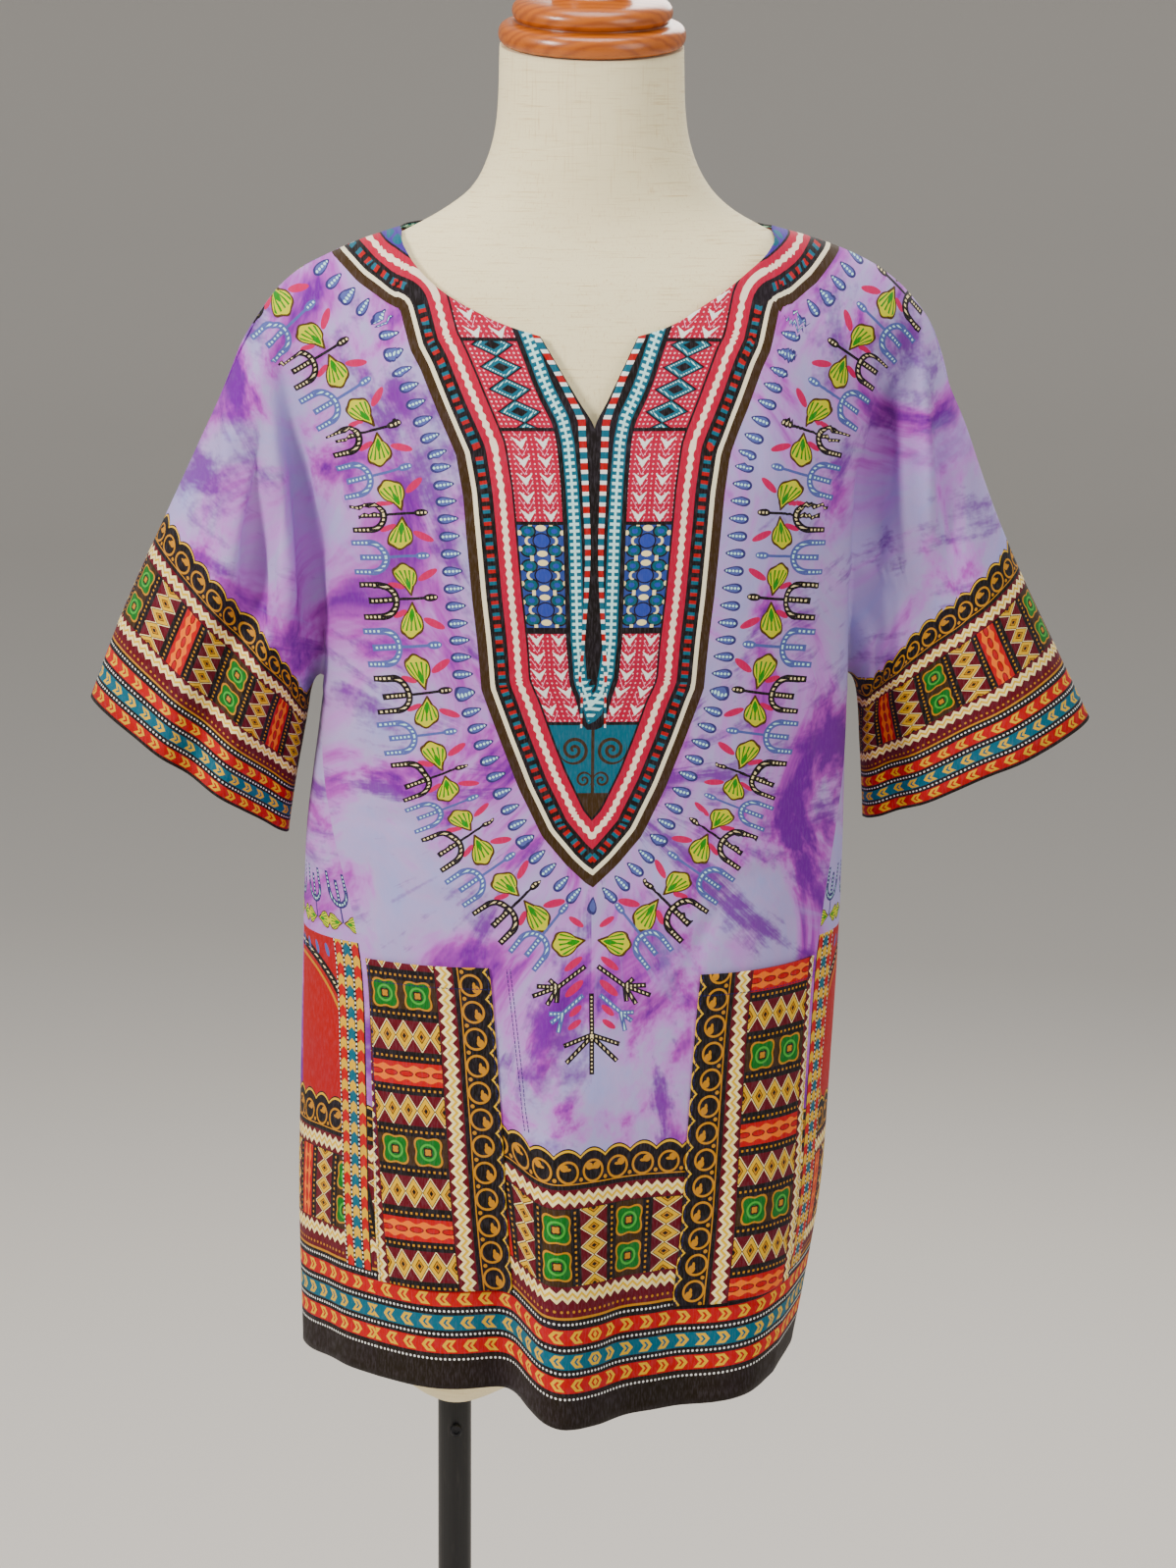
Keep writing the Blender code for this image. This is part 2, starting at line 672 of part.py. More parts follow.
def dress_form(collection, cutters):
    """Limbless torso, lofted from the neck to the hips and closed at both ends."""
    count = 32
    lower = (0.620, 0.670, 0.720, 0.770, 0.825, 0.880, 0.940, 1.000, 1.060, 1.120, 1.170)
    chest = (1.215, 1.250, 1.280, 1.300, 1.314, 1.325, 1.336, 1.346, 1.354, 1.366)
    neck = (1.380, 1.400, 1.425, 1.448, 1.471)
    heights = lower + chest + neck
    build = bmesh.new()
    rings = []
    foot = form_ring(heights[0], count)
    shares = (0.12, 0.30, 0.50, 0.68, 0.83, 0.93, 0.98)
    tip = build.verts.new((-0.018, 0.0, hip_underside(-0.018, 0.0, 0.0)))
    for share in shares:
        ring = []
        for x, y, _ in foot:
            px = mix(-0.018, x, share)
            py = mix(0.0, y, share)
            ring.append(build.verts.new((px, py, hip_underside(px, py, share))))
        rings.append(ring)
    for height in heights:
        rings.append([build.verts.new(p) for p in form_ring(height, count)])
    for i in range(count):
        build.faces.new((tip, rings[0][(i + 1) % count], rings[0][i]))
    for low, high in zip(rings, rings[1:]):
        for i in range(count):
            j = (i + 1) % count
            build.faces.new((low[i], low[j], high[j], high[i]))
    build.faces.new(rings[-1])
    bmesh.ops.recalc_face_normals(build, faces=build.faces)
    form = finish_mesh("dress_form", build, collection)

    bpy.ops.mesh.primitive_cylinder_add(
        vertices=32,
        radius=POLE_RADIUS + SOCKET_PLAY,
        depth=0.30,
        location=(POLE_X, 0.0, POLE_TOP + SOCKET_PLAY - 0.15),
    )
    bore = bpy.context.object
    bore.name = "pole_bore_cutter"
    bore.hide_render = True
    bore.display_type = "WIRE"
    move_to(bore, cutters)
    cut = form.modifiers.new("Pole bore", "BOOLEAN")
    cut.operation = "DIFFERENCE"
    cut.solver = "EXACT"
    cut.object = bore
    return form


def move_to(piece, collection):
    for owner in list(piece.users_collection):
        owner.objects.unlink(piece)
    collection.objects.link(piece)


def turned(name, profile, collection, steps=40):
    """Round piece turned from a profile that runs from top to bottom at +X."""
    mesh = bpy.data.meshes.new(name)
    corners = [(x, 0.0, z) for x, z in profile]
    lines = [(i, i + 1) for i in range(len(profile) - 1)]
    mesh.from_pydata(corners, lines, [])
    made = bpy.data.objects.new(name, mesh)
    collection.objects.link(made)
    turn = made.modifiers.new("Turned profile", "SCREW")
    turn.axis = "Z"
    turn.steps = steps
    turn.render_steps = steps
    turn.use_merge_vertices = True
    turn.merge_threshold = 0.00005
    turn.use_smooth_shade = True
    return made


def neck_cap(collection):
    profile = (
        (0.0, 0.0555),
        (0.008, 0.0552),
        (0.016, 0.0535),
        (0.0225, 0.0495),
        (0.0262, 0.0440),
        (0.0272, 0.0385),
        (0.0255, 0.0340),
        (0.0285, 0.0315),
        (0.0400, 0.0305),
        (0.0470, 0.0292),
        (0.0505, 0.0265),
        (0.0520, 0.0230),
        (0.0515, 0.0190),
        (0.0490, 0.0165),
        (0.0500, 0.0150),
        (0.0560, 0.0143),
        (0.0590, 0.0125),
        (0.0605, 0.0090),
        (0.0605, 0.0050),
        (0.0590, 0.0018),
        (0.0560, 0.0),
        (0.0, 0.0),
    )
    cap = turned("neck_cap", profile, collection)
    cap.location = (0.0, CAP_FORWARD, CAP_PIVOT + math.tan(CAP_TILT) * CAP_FORWARD)
    cap.rotation_euler = (CAP_TILT, 0.0, 0.0)
    return cap


def stand(collection):
    pole = turned(
        "pole",
        (
            (0.0, POLE_TOP),
            (POLE_RADIUS - 0.001, POLE_TOP),
            (POLE_RADIUS, POLE_TOP - 0.001),
            (POLE_RADIUS, POLE_FOOT + 0.001),
            (POLE_RADIUS - 0.001, POLE_FOOT),
            (0.0, POLE_FOOT),
        ),
        collection,
        32,
    )
    pole.location.x = POLE_X
    base = turned(
        "base_plate",
        (
            (POLE_RADIUS + SOCKET_PLAY, HUB_HEIGHT - 0.001),
            (POLE_RADIUS + SOCKET_PLAY + 0.001, HUB_HEIGHT),
            (HUB_RADIUS - 0.002, HUB_HEIGHT),
            (HUB_RADIUS, HUB_HEIGHT - 0.002),
            (HUB_RADIUS, BASE_HEIGHT + 0.004),
            (HUB_RADIUS + 0.004, BASE_HEIGHT + 0.001),
            (HUB_RADIUS + 0.012, BASE_HEIGHT),
            (BASE_RADIUS - 0.006, BASE_HEIGHT - 0.002),
            (BASE_RADIUS - 0.0015, BASE_HEIGHT - 0.0035),
            (BASE_RADIUS, BASE_HEIGHT - 0.006),
            (BASE_RADIUS, 0.001),
            (BASE_RADIUS - 0.001, 0.0),
            (0.0, 0.0),
            (0.0, 0.004),
            (POLE_RADIUS + SOCKET_PLAY, 0.004),
            (POLE_RADIUS + SOCKET_PLAY, HUB_HEIGHT - 0.001),
        ),
        collection,
        48,
    )
    base.location.x = POLE_X
    screw = turned(
        "set_screw",
        (
            (0.0, 0.0026),
            (0.0021, 0.0028),
            (0.0023, 0.0042),
            (0.0036, 0.0042),
            (0.0041, 0.0036),
            (0.0041, 0.0),
            (0.0, 0.0),
        ),
        collection,
        24,
    )
    screw.location = (POLE_X + 0.0005, -POLE_RADIUS - SOCKET_PLAY, SCREW_HEIGHT)
    screw.rotation_euler = (math.radians(90.0), 0.0, 0.0)
    return pole, base, screw


def material(name, colour, rough, metal=0.0):
    made = bpy.data.materials.new(name)
    made.use_nodes = True
    surface = made.node_tree.nodes["Principled BSDF"]
    surface.inputs["Base Color"].default_value = (*colour, 1.0)
    surface.inputs["Roughness"].default_value = rough
    surface.inputs["Metallic"].default_value = metal
    return made


def main():
    for thing in list(bpy.data.objects):
        bpy.data.objects.remove(thing, do_unlink=True)
    parts = bpy.data.collections.new("dashiki_shirt")
    cutters = bpy.data.collections.new("cutters")
    bpy.context.scene.collection.children.link(parts)
    bpy.context.scene.collection.children.link(cutters)

    front = panel_mesh("front")
    pockets = [pocket(side, front, parts) for side in (-1, 1)]
    shirt_front = thicken(finish_mesh("shirt_front", front, parts), CLOTH)
    shirt_back = thicken(finish_mesh("shirt_back", panel_mesh("back"), parts), CLOTH)
    form = dress_form(parts, cutters)
    cap = neck_cap(parts)
    pole, base, screw = stand(parts)

    for piece in list(parts.objects) + list(cutters.objects):
        piece.location.x -= MIDDLE

    looks = {
        "shirt_front": (shirt_front, (0.42, 0.33, 0.62), 0.85, 0.0),
        "shirt_back": (shirt_back, (0.40, 0.31, 0.60), 0.85, 0.0),
        "pocket_left": (pockets[0], (0.25, 0.18, 0.06), 0.85, 0.0),
        "pocket_right": (pockets[1], (0.27, 0.20, 0.07), 0.85, 0.0),
        "dress_form": (form, (0.88, 0.82, 0.68), 0.9, 0.0),
        "neck_cap": (cap, (0.55, 0.27, 0.08), 0.35, 0.0),
        "pole": (pole, (0.02, 0.02, 0.02), 0.35, 0.6),
        "base_plate": (base, (0.025, 0.025, 0.025), 0.4, 0.6),
        "set_screw": (screw, (0.05, 0.05, 0.05), 0.3, 0.9),
    }
    for name, (piece, colour, rough, metal) in looks.items():
        piece.data.materials.append(material(name + "_finish", colour, rough, metal))


main()
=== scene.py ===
import math

import bmesh
import bpy
import numpy as np
from bpy.props import FloatProperty, FloatVectorProperty, IntProperty
from mathutils import Matrix, Vector


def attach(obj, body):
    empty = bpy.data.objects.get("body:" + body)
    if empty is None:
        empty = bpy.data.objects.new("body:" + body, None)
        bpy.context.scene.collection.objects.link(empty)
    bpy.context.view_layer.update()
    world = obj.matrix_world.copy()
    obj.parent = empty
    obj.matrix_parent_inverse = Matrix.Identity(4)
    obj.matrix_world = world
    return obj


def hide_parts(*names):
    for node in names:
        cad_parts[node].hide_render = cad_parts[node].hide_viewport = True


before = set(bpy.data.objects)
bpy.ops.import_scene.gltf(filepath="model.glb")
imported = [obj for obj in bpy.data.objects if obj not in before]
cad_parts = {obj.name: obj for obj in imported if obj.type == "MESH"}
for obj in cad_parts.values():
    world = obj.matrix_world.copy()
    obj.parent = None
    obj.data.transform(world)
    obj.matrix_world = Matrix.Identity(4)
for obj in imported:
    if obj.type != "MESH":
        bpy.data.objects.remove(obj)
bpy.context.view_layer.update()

bl_info = {
    "name": "Dashiki shirt on a dress form",
    "version": (1, 0, 0),
    "blender": (4, 5, 0),
    "location": "3D View > Sidebar > Shirt",
    "description": "Builds a printed cotton dashiki shirt on a linen dress form with its stand",
    "category": "Add Mesh",
}


def table(columns, *rows):
    """Numbers under named columns, the first of which is the key."""
    return columns.split(), np.array(rows, dtype=float)


def joined(*stretches):
    """Even steps over several stretches, each given by its start, its end and its count."""
    parts = [np.linspace(*stretch) for stretch in stretches]
    return np.concatenate(parts[:1] + [part[1:] for part in parts[1:]])


# Levels of the shirt, in metres above the floor: armhole, slit and where the folds are deepest
UNDERARM = 1.060
ARMHOLE_TOP = 1.314
SLIT_FOOT = 1.234
SLIT_TOP = 1.290
FOLD_FOOT = 0.60

# Closed front edge from the middle, the part's shift to its own middle, and the seams' depth
FRONT_CENTRE = -0.005
MIDDLE = 0.00395
SEAM_PLANE = 0.008

# How sharply body and sleeve meet, the roll of a folded edge, and the neckline's flare
SMOOTH_EDGE = 6.0
ROLL_WIDTH = 0.006
ROLL_DEPTH = 0.011
NECK_FLARE = 0.80

# Shares of the width at the neck point and at the pocket's inner edge, and the pocket's gap
NECK_SHARE = 0.60
POCKET_SHARE = 0.42
POCKET_GAP = 0.0011

# Cap: how far it leans, the height of its middle on the neck and its shift to the front
CAP_TILT = math.radians(10.0)
CAP_PIVOT = 1.4715
CAP_FORWARD = -0.001

# Camera: height of its sensor in mm, and of its focal length and its frame in pixels
SENSOR_HEIGHT = 24.0
FOCAL_PIXELS = 4300.0
FRAME_PIXELS = 1598.0

# Shirt's body, seen from the front: edge left, edge right, depth front, depth back, squareness
BODY = table(
    "height left right front back square",
    (0.59, 0.1905, 0.137, 0.133, 0.128, 2.15), (0.63, 0.1915, 0.145, 0.132, 0.127, 2.15),
    (0.67, 0.1925, 0.152, 0.13, 0.126, 2.15), (0.72, 0.193, 0.159, 0.127, 0.124, 2.18),
    (0.79, 0.1915, 0.163, 0.123, 0.12, 2.2), (0.88, 0.189, 0.167, 0.119, 0.115, 2.25),
    (0.96, 0.186, 0.169, 0.118, 0.113, 2.3), (1.01, 0.18, 0.17, 0.12, 0.114, 2.35),
    (1.06, 0.174, 0.171, 0.123, 0.115, 2.45), (1.11, 0.175, 0.171, 0.126, 0.115, 2.55),
    (1.16, 0.181, 0.173, 0.126, 0.114, 2.6), (1.2, 0.1885, 0.179, 0.122, 0.112, 2.55),
    (1.24, 0.1965, 0.188, 0.112, 0.107, 2.45), (1.27, 0.205, 0.202, 0.102, 0.101, 2.35),
    (1.29, 0.212, 0.215, 0.094, 0.095, 2.28), (1.304, 0.21, 0.215, 0.088, 0.091, 2.22),
    (1.314, 0.204, 0.208, 0.084, 0.088, 2.18), (1.325, 0.193, 0.196, 0.079, 0.084, 2.12),
    (1.336, 0.172, 0.178, 0.074, 0.079, 2.08), (1.346, 0.151, 0.154, 0.07, 0.074, 2.05),
    (1.356, 0.125, 0.125, 0.066, 0.069, 2.0), (1.368, 0.108, 0.108, 0.063, 0.066, 2.0),
    (1.4, 0.076, 0.076, 0.062, 0.06, 2.0),
)

# Outer edge of the sleeves from the shoulder to the cuff, left and right
OVERARM = table(
    "along left_x left_z right_x right_z",
    (0.0, 0.204, 1.314, 0.208, 1.314), (0.07, 0.213, 1.2985, 0.219, 1.296),
    (0.2, 0.227, 1.269, 0.2325, 1.266), (0.36, 0.244, 1.237, 0.247, 1.23),
    (0.52, 0.261, 1.201, 0.263, 1.185), (0.68, 0.28, 1.16, 0.282, 1.139),
    (0.84, 0.304, 1.108, 0.306, 1.09), (1.0, 0.327, 1.048, 0.335, 1.0315),
)

# Lower edge of the sleeves from the underarm to the cuff, left and right
UNDERSLEEVE = table(
    "along left_x left_z right_x right_z",
    (0.0, 0.174, 1.06, 0.171, 1.06), (0.08, 0.1795, 1.056, 0.1765, 1.056),
    (0.25, 0.184, 1.04, 0.18, 1.04), (0.5, 0.189, 1.016, 0.1822, 1.016),
    (0.75, 0.194, 0.988, 0.1838, 0.99), (1.0, 0.1985, 0.957, 0.185, 0.964),
)

# Sleeve slices by height: outer edge and inner edge of each side, half depth
SLEEVE = table(
    "height left_out left_in right_out right_in depth",
    (0.9, 0.39, 0.206, 0.393, 0.188, 0.05), (0.957, 0.364, 0.1985, 0.37, 0.185, 0.052),
    (1.0, 0.347, 0.1915, 0.351, 0.183, 0.053), (1.04, 0.33, 0.184, 0.331, 0.18, 0.052),
    (1.056, 0.324, 0.178, 0.323, 0.175, 0.052), (1.09, 0.311, 0.164, 0.306, 0.16, 0.051),
    (1.139, 0.29, 0.166, 0.282, 0.159, 0.049), (1.185, 0.268, 0.173, 0.263, 0.165, 0.047),
    (1.23, 0.2475, 0.182, 0.247, 0.175, 0.044), (1.266, 0.2285, 0.192, 0.2325, 0.188, 0.038),
    (1.296, 0.2145, 0.203, 0.219, 0.205, 0.028), (1.32, 0.2, 0.196, 0.2, 0.196, 0.012),
)

# Folds down the sleeves of each side and face: place across from the overarm 0 to the underarm 1,
# how far it drifts on its way to the cuff, height and width
SLEEVE_FOLDS = {
    (-1, "front"): (
        (0.3, 0.06, 0.006, 0.075), (0.47, 0.03, -0.0085, 0.07), (0.66, -0.02, 0.0075, 0.07),
        (0.86, 0.0, -0.008, 0.06),
    ),
    (1, "front"): (
        (0.26, 0.05, 0.005, 0.08), (0.52, 0.04, -0.006, 0.08), (0.72, 0.0, 0.007, 0.06),
        (0.88, -0.02, -0.0075, 0.05),
    ),
    (-1, "back"): (
        (0.38, 0.04, 0.006, 0.09), (0.64, -0.03, -0.008, 0.08),
    ),
    (1, "back"): (
        (0.34, 0.05, 0.0055, 0.09), (0.58, 0.0, -0.007, 0.08), (0.8, -0.03, 0.004, 0.06),
    ),
}

# Folds down the body: angle round from the front centre at the hem and at the top, outward
# height at the hem, half width in degrees, height where the fold has died out
BODY_FOLDS = (
    (-6.5, -8.0, 0.037, 8.0, 0.93), (-16.5, -15.0, -0.015, 6.0, 0.9),
    (22.0, 18.0, -0.008, 9.0, 0.86), (41.0, 44.0, 0.006, 10.0, 0.9),
    (-33.0, -36.0, 0.0045, 9.0, 0.88), (-68.0, -72.0, -0.006, 11.0, 0.96),
    (72.0, 75.0, -0.005, 10.0, 0.94), (118.0, 112.0, 0.009, 12.0, 1.0),
    (146.0, 150.0, -0.01, 11.0, 0.98), (171.0, 168.0, 0.015, 10.0, 0.95),
    (-166.0, -170.0, -0.008, 9.0, 0.9), (-143.0, -148.0, 0.013, 11.0, 0.99),
    (-112.0, -108.0, -0.006, 12.0, 0.96),
)

# Height of the hem round the body
HEM = table(
    "angle height",
    (-180.0, 0.61), (-130.0, 0.61), (-90.0, 0.611), (-60.0, 0.613), (-30.0, 0.611), (-15.0, 0.61),
    (-6.0, 0.598), (10.0, 0.597), (30.0, 0.597), (55.0, 0.604), (90.0, 0.608), (130.0, 0.612),
    (180.0, 0.61),
)

# Side seams: angle round from the front centre at each height
SIDE_SEAM = table(
    "height left right",
    (0.59, 46.0, 58.0), (0.7, 47.5, 57.5), (0.8, 49.0, 57.5), (0.89, 51.5, 59.0),
    (0.95, 60.0, 66.0), (1.0, 73.0, 76.0), (1.04, 85.0, 86.0), (1.06, 90.0, 90.0),
)

# Share of the front's width where the pocket's inner edge lies
POCKET_EDGE = table(
    "up left right",
    (0.0, 0.31, 0.305), (0.145, 0.32, 0.312), (0.618, 0.375, 0.345), (1.0, 0.42, 0.42),
)

# Neckline from the head of the front slit to the neck point, left and right, and the back
NECKLINE = table(
    "along left_x left_z right_x right_z back_x back_z",
    (0.0, 0.038, 1.29, 0.0235, 1.29, 0.0, 1.366),
    (0.16, 0.056, 1.2965, 0.041, 1.296, 0.024, 1.3655),
    (0.33, 0.075, 1.3035, 0.061, 1.306, 0.047, 1.3645),
    (0.5, 0.092, 1.3125, 0.079, 1.317, 0.069, 1.3625),
    (0.67, 0.107, 1.3235, 0.095, 1.329, 0.089, 1.36),
    (0.83, 0.1185, 1.337, 0.1085, 1.34, 0.107, 1.3575),
    (0.93, 0.1243, 1.349, 0.1165, 1.3505, 0.1155, 1.3565),
    (1.0, 0.1235, 1.355, 0.118, 1.356, 0.121, 1.355),
)

# Shoulder line from the neck point to the head of the sleeve
SHOULDER = table(
    "along left_x left_z right_x right_z",
    (0.0, 0.1235, 1.355, 0.118, 1.356), (0.3, 0.148, 1.347, 0.144, 1.349),
    (0.6, 0.17, 1.337, 0.174, 1.3375), (0.82, 0.19, 1.3265, 0.193, 1.3265),
    (1.0, 0.204, 1.314, 0.208, 1.314),
)

# Dress form: middle, half width, depth front, depth back, squareness at each height
FORM = table(
    "height middle half front back square",
    (0.62, -0.018, 0.148, 0.092, 0.098, 2.2), (0.675, -0.018, 0.1555, 0.102, 0.109, 2.25),
    (0.74, -0.0175, 0.1585, 0.106, 0.112, 2.3), (0.8, -0.0165, 0.156, 0.104, 0.108, 2.3),
    (0.87, -0.014, 0.145, 0.1, 0.1, 2.25), (0.94, -0.011, 0.136, 0.095, 0.09, 2.2),
    (1.0, -0.008, 0.138, 0.098, 0.09, 2.2), (1.06, -0.005, 0.146, 0.105, 0.094, 2.25),
    (1.12, -0.003, 0.154, 0.111, 0.098, 2.3), (1.17, -0.002, 0.161, 0.112, 0.1, 2.35),
    (1.215, -0.002, 0.171, 0.109, 0.099, 2.35), (1.25, -0.002, 0.18, 0.102, 0.096, 2.28),
    (1.28, -0.001, 0.187, 0.093, 0.091, 2.2), (1.3, -0.001, 0.188, 0.086, 0.087, 2.15),
    (1.314, -0.001, 0.181, 0.081, 0.083, 2.1), (1.325, -0.0015, 0.1704, 0.076, 0.079, 2.05),
    (1.336, -0.0015, 0.1544, 0.07, 0.074, 2.02), (1.346, -0.0015, 0.1343, 0.0655, 0.069, 2.0),
    (1.354, -0.0015, 0.1174, 0.0625, 0.065, 2.0), (1.366, -0.0015, 0.0954, 0.06, 0.061, 2.0),
    (1.38, 0.0, 0.0785, 0.059, 0.058, 2.0), (1.4, 0.0, 0.0675, 0.059, 0.057, 2.0),
    (1.425, 0.0, 0.0618, 0.059, 0.056, 2.0), (1.471, 0.0, 0.06, 0.059, 0.057, 2.0),
)

# Underside of the form: its level, and the shares of its width that its rings stand at
FORM_FOOT = 0.620
FOOT_SHARES = (0.03, 0.08, 0.15, 0.24, 0.34, 0.44, 0.54, 0.64, 0.73, 0.81, 0.88, 0.93, 0.965, 0.988)

# Print, seen from the front: distance from the print's centre line and height above the floor
PRINT_CENTRE = -0.0095

# Outer edge of the yoke, from its tip to the shoulder
YOKE_EDGE = (
    (0.0, 0.9406), (0.0163, 0.956), (0.0319, 0.9748), (0.0465, 1.0053), (0.0589, 1.0375),
    (0.0706, 1.069), (0.0735, 1.1012), (0.0765, 1.1275), (0.0794, 1.1597), (0.0824, 1.1928),
    (0.0862, 1.2169), (0.0974, 1.2432), (0.108, 1.2697), (0.114, 1.281), (0.1205, 1.3067),
    (0.129, 1.31), (0.1467, 1.3223), (0.157, 1.3328), (0.176, 1.352),
)

# Centre of the ladder band down each side of the slit, from its foot to the neckline
LADDER = (
    (0.0, 1.05), (0.0065, 1.072), (0.0098, 1.099), (0.0108, 1.135), (0.0118, 1.169), (0.0135, 1.2),
    (0.0158, 1.2256), (0.0188, 1.2397), (0.0264, 1.2537), (0.031, 1.264), (0.0374, 1.2817),
    (0.046, 1.304), (0.062, 1.338),
)

# Row of small blocks beside the slit: height and distance of its middle from the slit's edge
SLIT_STRIPE = (
    (1.05, 0.002), (1.099, 0.0023), (1.169, 0.0035), (1.234, 0.0062), (1.247, 0.0042),
    (1.264, 0.0028), (1.34, 0.0028),
)

# Line that the sprigs stand on, from the bottom centre to the shoulder
SPRIG_LINE = (
    (0.0, 0.8904), (0.0477, 0.9362), (0.079, 0.9786), (0.0965, 1.0172), (0.107, 1.0703),
    (0.116, 1.1312), (0.122, 1.1845), (0.138, 1.2345), (0.156, 1.2608), (0.173, 1.2863),
    (0.194, 1.3084), (0.214, 1.328),
)

# Run along that line at which each sprig stands, in millimetres, and the even pitch drawn
SPRIG_RUNS = (0.0, 63.0, 115.0, 157.0, 210.0, 271.0, 325.0, 379.0, 435.0, 490.0, 545.0)
SPRIG_PITCH = 54.0

# Distance between the drops round the yoke, in millimetres
DROP_PITCH = 11.0

# Numbers that keep a part of the print off the cloth where it doesn't belong
NO_YOKE = 400.0
NO_BORDER = 500.0
NO_SEAM = 900.0
NO_STRIPE = -50.0
BACK_FACE = 900.0

# Height of the border above the hem and the cuffs, in millimetres, with a little to spare
BORDER = 184.0

# The back's yoke follows the back neckline at this distance, in millimetres
BACK_YOKE = 42.0
BACK_SPRIGS = 33.0
BACK_LADDER = 37.0

# Shares of the width and the height where the pockets begin and end, and the slit's foot
POCKET_OUTER = 0.97
POCKET_FOOT = 0.145
POCKET_HEAD = 0.618
SLIT_ROW = 0.7565

# Shares and levels of the fine cloth grid
SHARES = joined((0.0, NECK_SHARE, 31), (NECK_SHARE, POCKET_OUTER, 19), (POCKET_OUTER, 1.0, 3))
LOW_LEVELS = joined(
    (0.0, POCKET_FOOT, 14), (POCKET_FOOT, POCKET_HEAD, 43), (POCKET_HEAD, 1.0, 34)
)
HIGH_LEVELS = joined((0.0, SLIT_ROW, 40), (SLIT_ROW, 0.9, 9), (0.9, 1.0, 13))
ALONGS = np.linspace(0.0, 1.0, 31)

# The shirt's solids are laid on these columns and rows, and the fine cloth passes through them
FRONT_COLUMNS = np.array([
    0.0, 0.07, 0.14, 0.21, 0.28, 0.35, POCKET_SHARE, 0.475, 0.515, 0.55, NECK_SHARE, 0.66, 0.73,
    0.80, 0.87, 0.93, POCKET_OUTER, 1.0,
])
BACK_COLUMNS = np.array([
    0.0, 0.12, 0.24, 0.36, 0.46, 0.53, 0.575, NECK_SHARE, 0.68, 0.76, 0.84, 0.92, 1.0,
])
LOWER_ROWS = np.array([
    0.0, 0.07, POCKET_FOOT, 0.205, 0.265, 0.325, 0.385, 0.445, 0.505, 0.56, POCKET_HEAD, 0.70,
    0.79, 0.87, 0.94, 1.0,
])
UPPER_ROWS = np.array([
    0.0, 0.08, 0.16, 0.24, 0.32, 0.41, 0.50, 0.59, 0.68, SLIT_ROW, 0.83, 0.90, 0.945, 0.977, 1.0,
])
SLEEVE_COLUMNS = np.array([0.0, 0.07, 0.16, 0.26, 0.37, 0.48, 0.60, 0.73, 0.86, 1.0])

# Length of the cloth below and above the underarm, in metres
LOWER_RUN = 0.455
UPPER_RUN = 0.255

# Creases listed one by one: x, z, length, angle from level in degrees, height and half width. All
# lengths are in millimetres.
CREASES = {
    "front": (
        (-145, 1010, 250, 88, 1.6, 4.0), (-133, 1120, 190, 84, -1.3, 7.0),
        (131, 1040, 320, 91, 1.5, 4.0), (118, 1150, 200, 95, -1.2, 8.0),
        (-160, 1057, 62, 4, 1.3, 3.5), (-110, 984, 150, 8, -1.1, 6.0),
        (-60, 936, 190, -6, 1.2, 5.0), (70, 950, 170, 12, 1.0, 5.5), (138, 1064, 74, -24, 1.4, 4.0),
        (20, 868, 130, 34, 1.1, 6.5), (-38, 842, 150, 76, 1.5, 5.0), (62, 905, 120, 61, -1.0, 6.0),
        (-86, 1196, 150, 66, -1.0, 8.0), (92, 1214, 130, -62, -1.0, 8.0),
        (-150, 1240, 110, 55, 1.4, 6.0), (156, 1236, 120, -52, 1.3, 6.0),
        (-176, 1175, 140, 78, -2.0, 7.0), (176, 1170, 150, -80, -2.0, 7.0),
        (-240, 1205, 140, 87, 2.4, 5.0), (186, 1136, 72, 3, 2.0, 4.0),
        (-222, 1165, 230, 88, -5.4, 8.5), (-204, 1150, 240, 93, 3.8, 7.0),
        (-190, 1150, 240, 95, -5.2, 7.0), (184, 1180, 220, 84, -5.2, 9.0),
        (199, 1196, 240, -86, 4.0, 5.5), (213, 1200, 210, -88, 3.4, 5.0),
        (226, 1184, 210, -85, -4.6, 8.0), (-232, 1110, 150, 64, -1.6, 8.0),
        (240, 1105, 150, -63, -1.6, 8.0), (-190, 1075, 80, 50, 1.6, 6.0),
        (184, 1080, 90, -54, 1.5, 6.0), (-34, 706, 190, 84, 1.8, 6.0),
        (40, 690, 150, 97, -1.4, 8.0), (8, 652, 96, 80, -1.2, 9.0), (-160, 720, 170, 92, 1.5, 7.0),
    ),
    "back": (
        (-104, 1160, 240, 82, 1.5, 6.0), (60, 1120, 300, 94, -1.4, 7.0),
        (128, 1050, 220, 86, 1.4, 5.0), (-20, 1230, 150, 12, -1.1, 8.0),
        (-60, 962, 170, -9, 1.3, 5.5), (74, 900, 210, 7, 1.2, 5.0), (-130, 842, 260, 88, -1.5, 7.0),
        (20, 790, 230, 83, 1.6, 6.0), (120, 742, 180, 97, -1.4, 7.0), (-66, 700, 160, 91, 1.4, 6.0),
        (-182, 1170, 150, 74, -1.9, 7.0), (180, 1176, 140, -77, -1.9, 7.0),
        (-222, 1130, 180, 65, 1.8, 6.0), (226, 1140, 160, -66, 1.7, 6.0),
        (238, 1090, 120, -60, -1.5, 8.0), (-240, 1080, 110, 62, -1.4, 8.0),
    ),
}


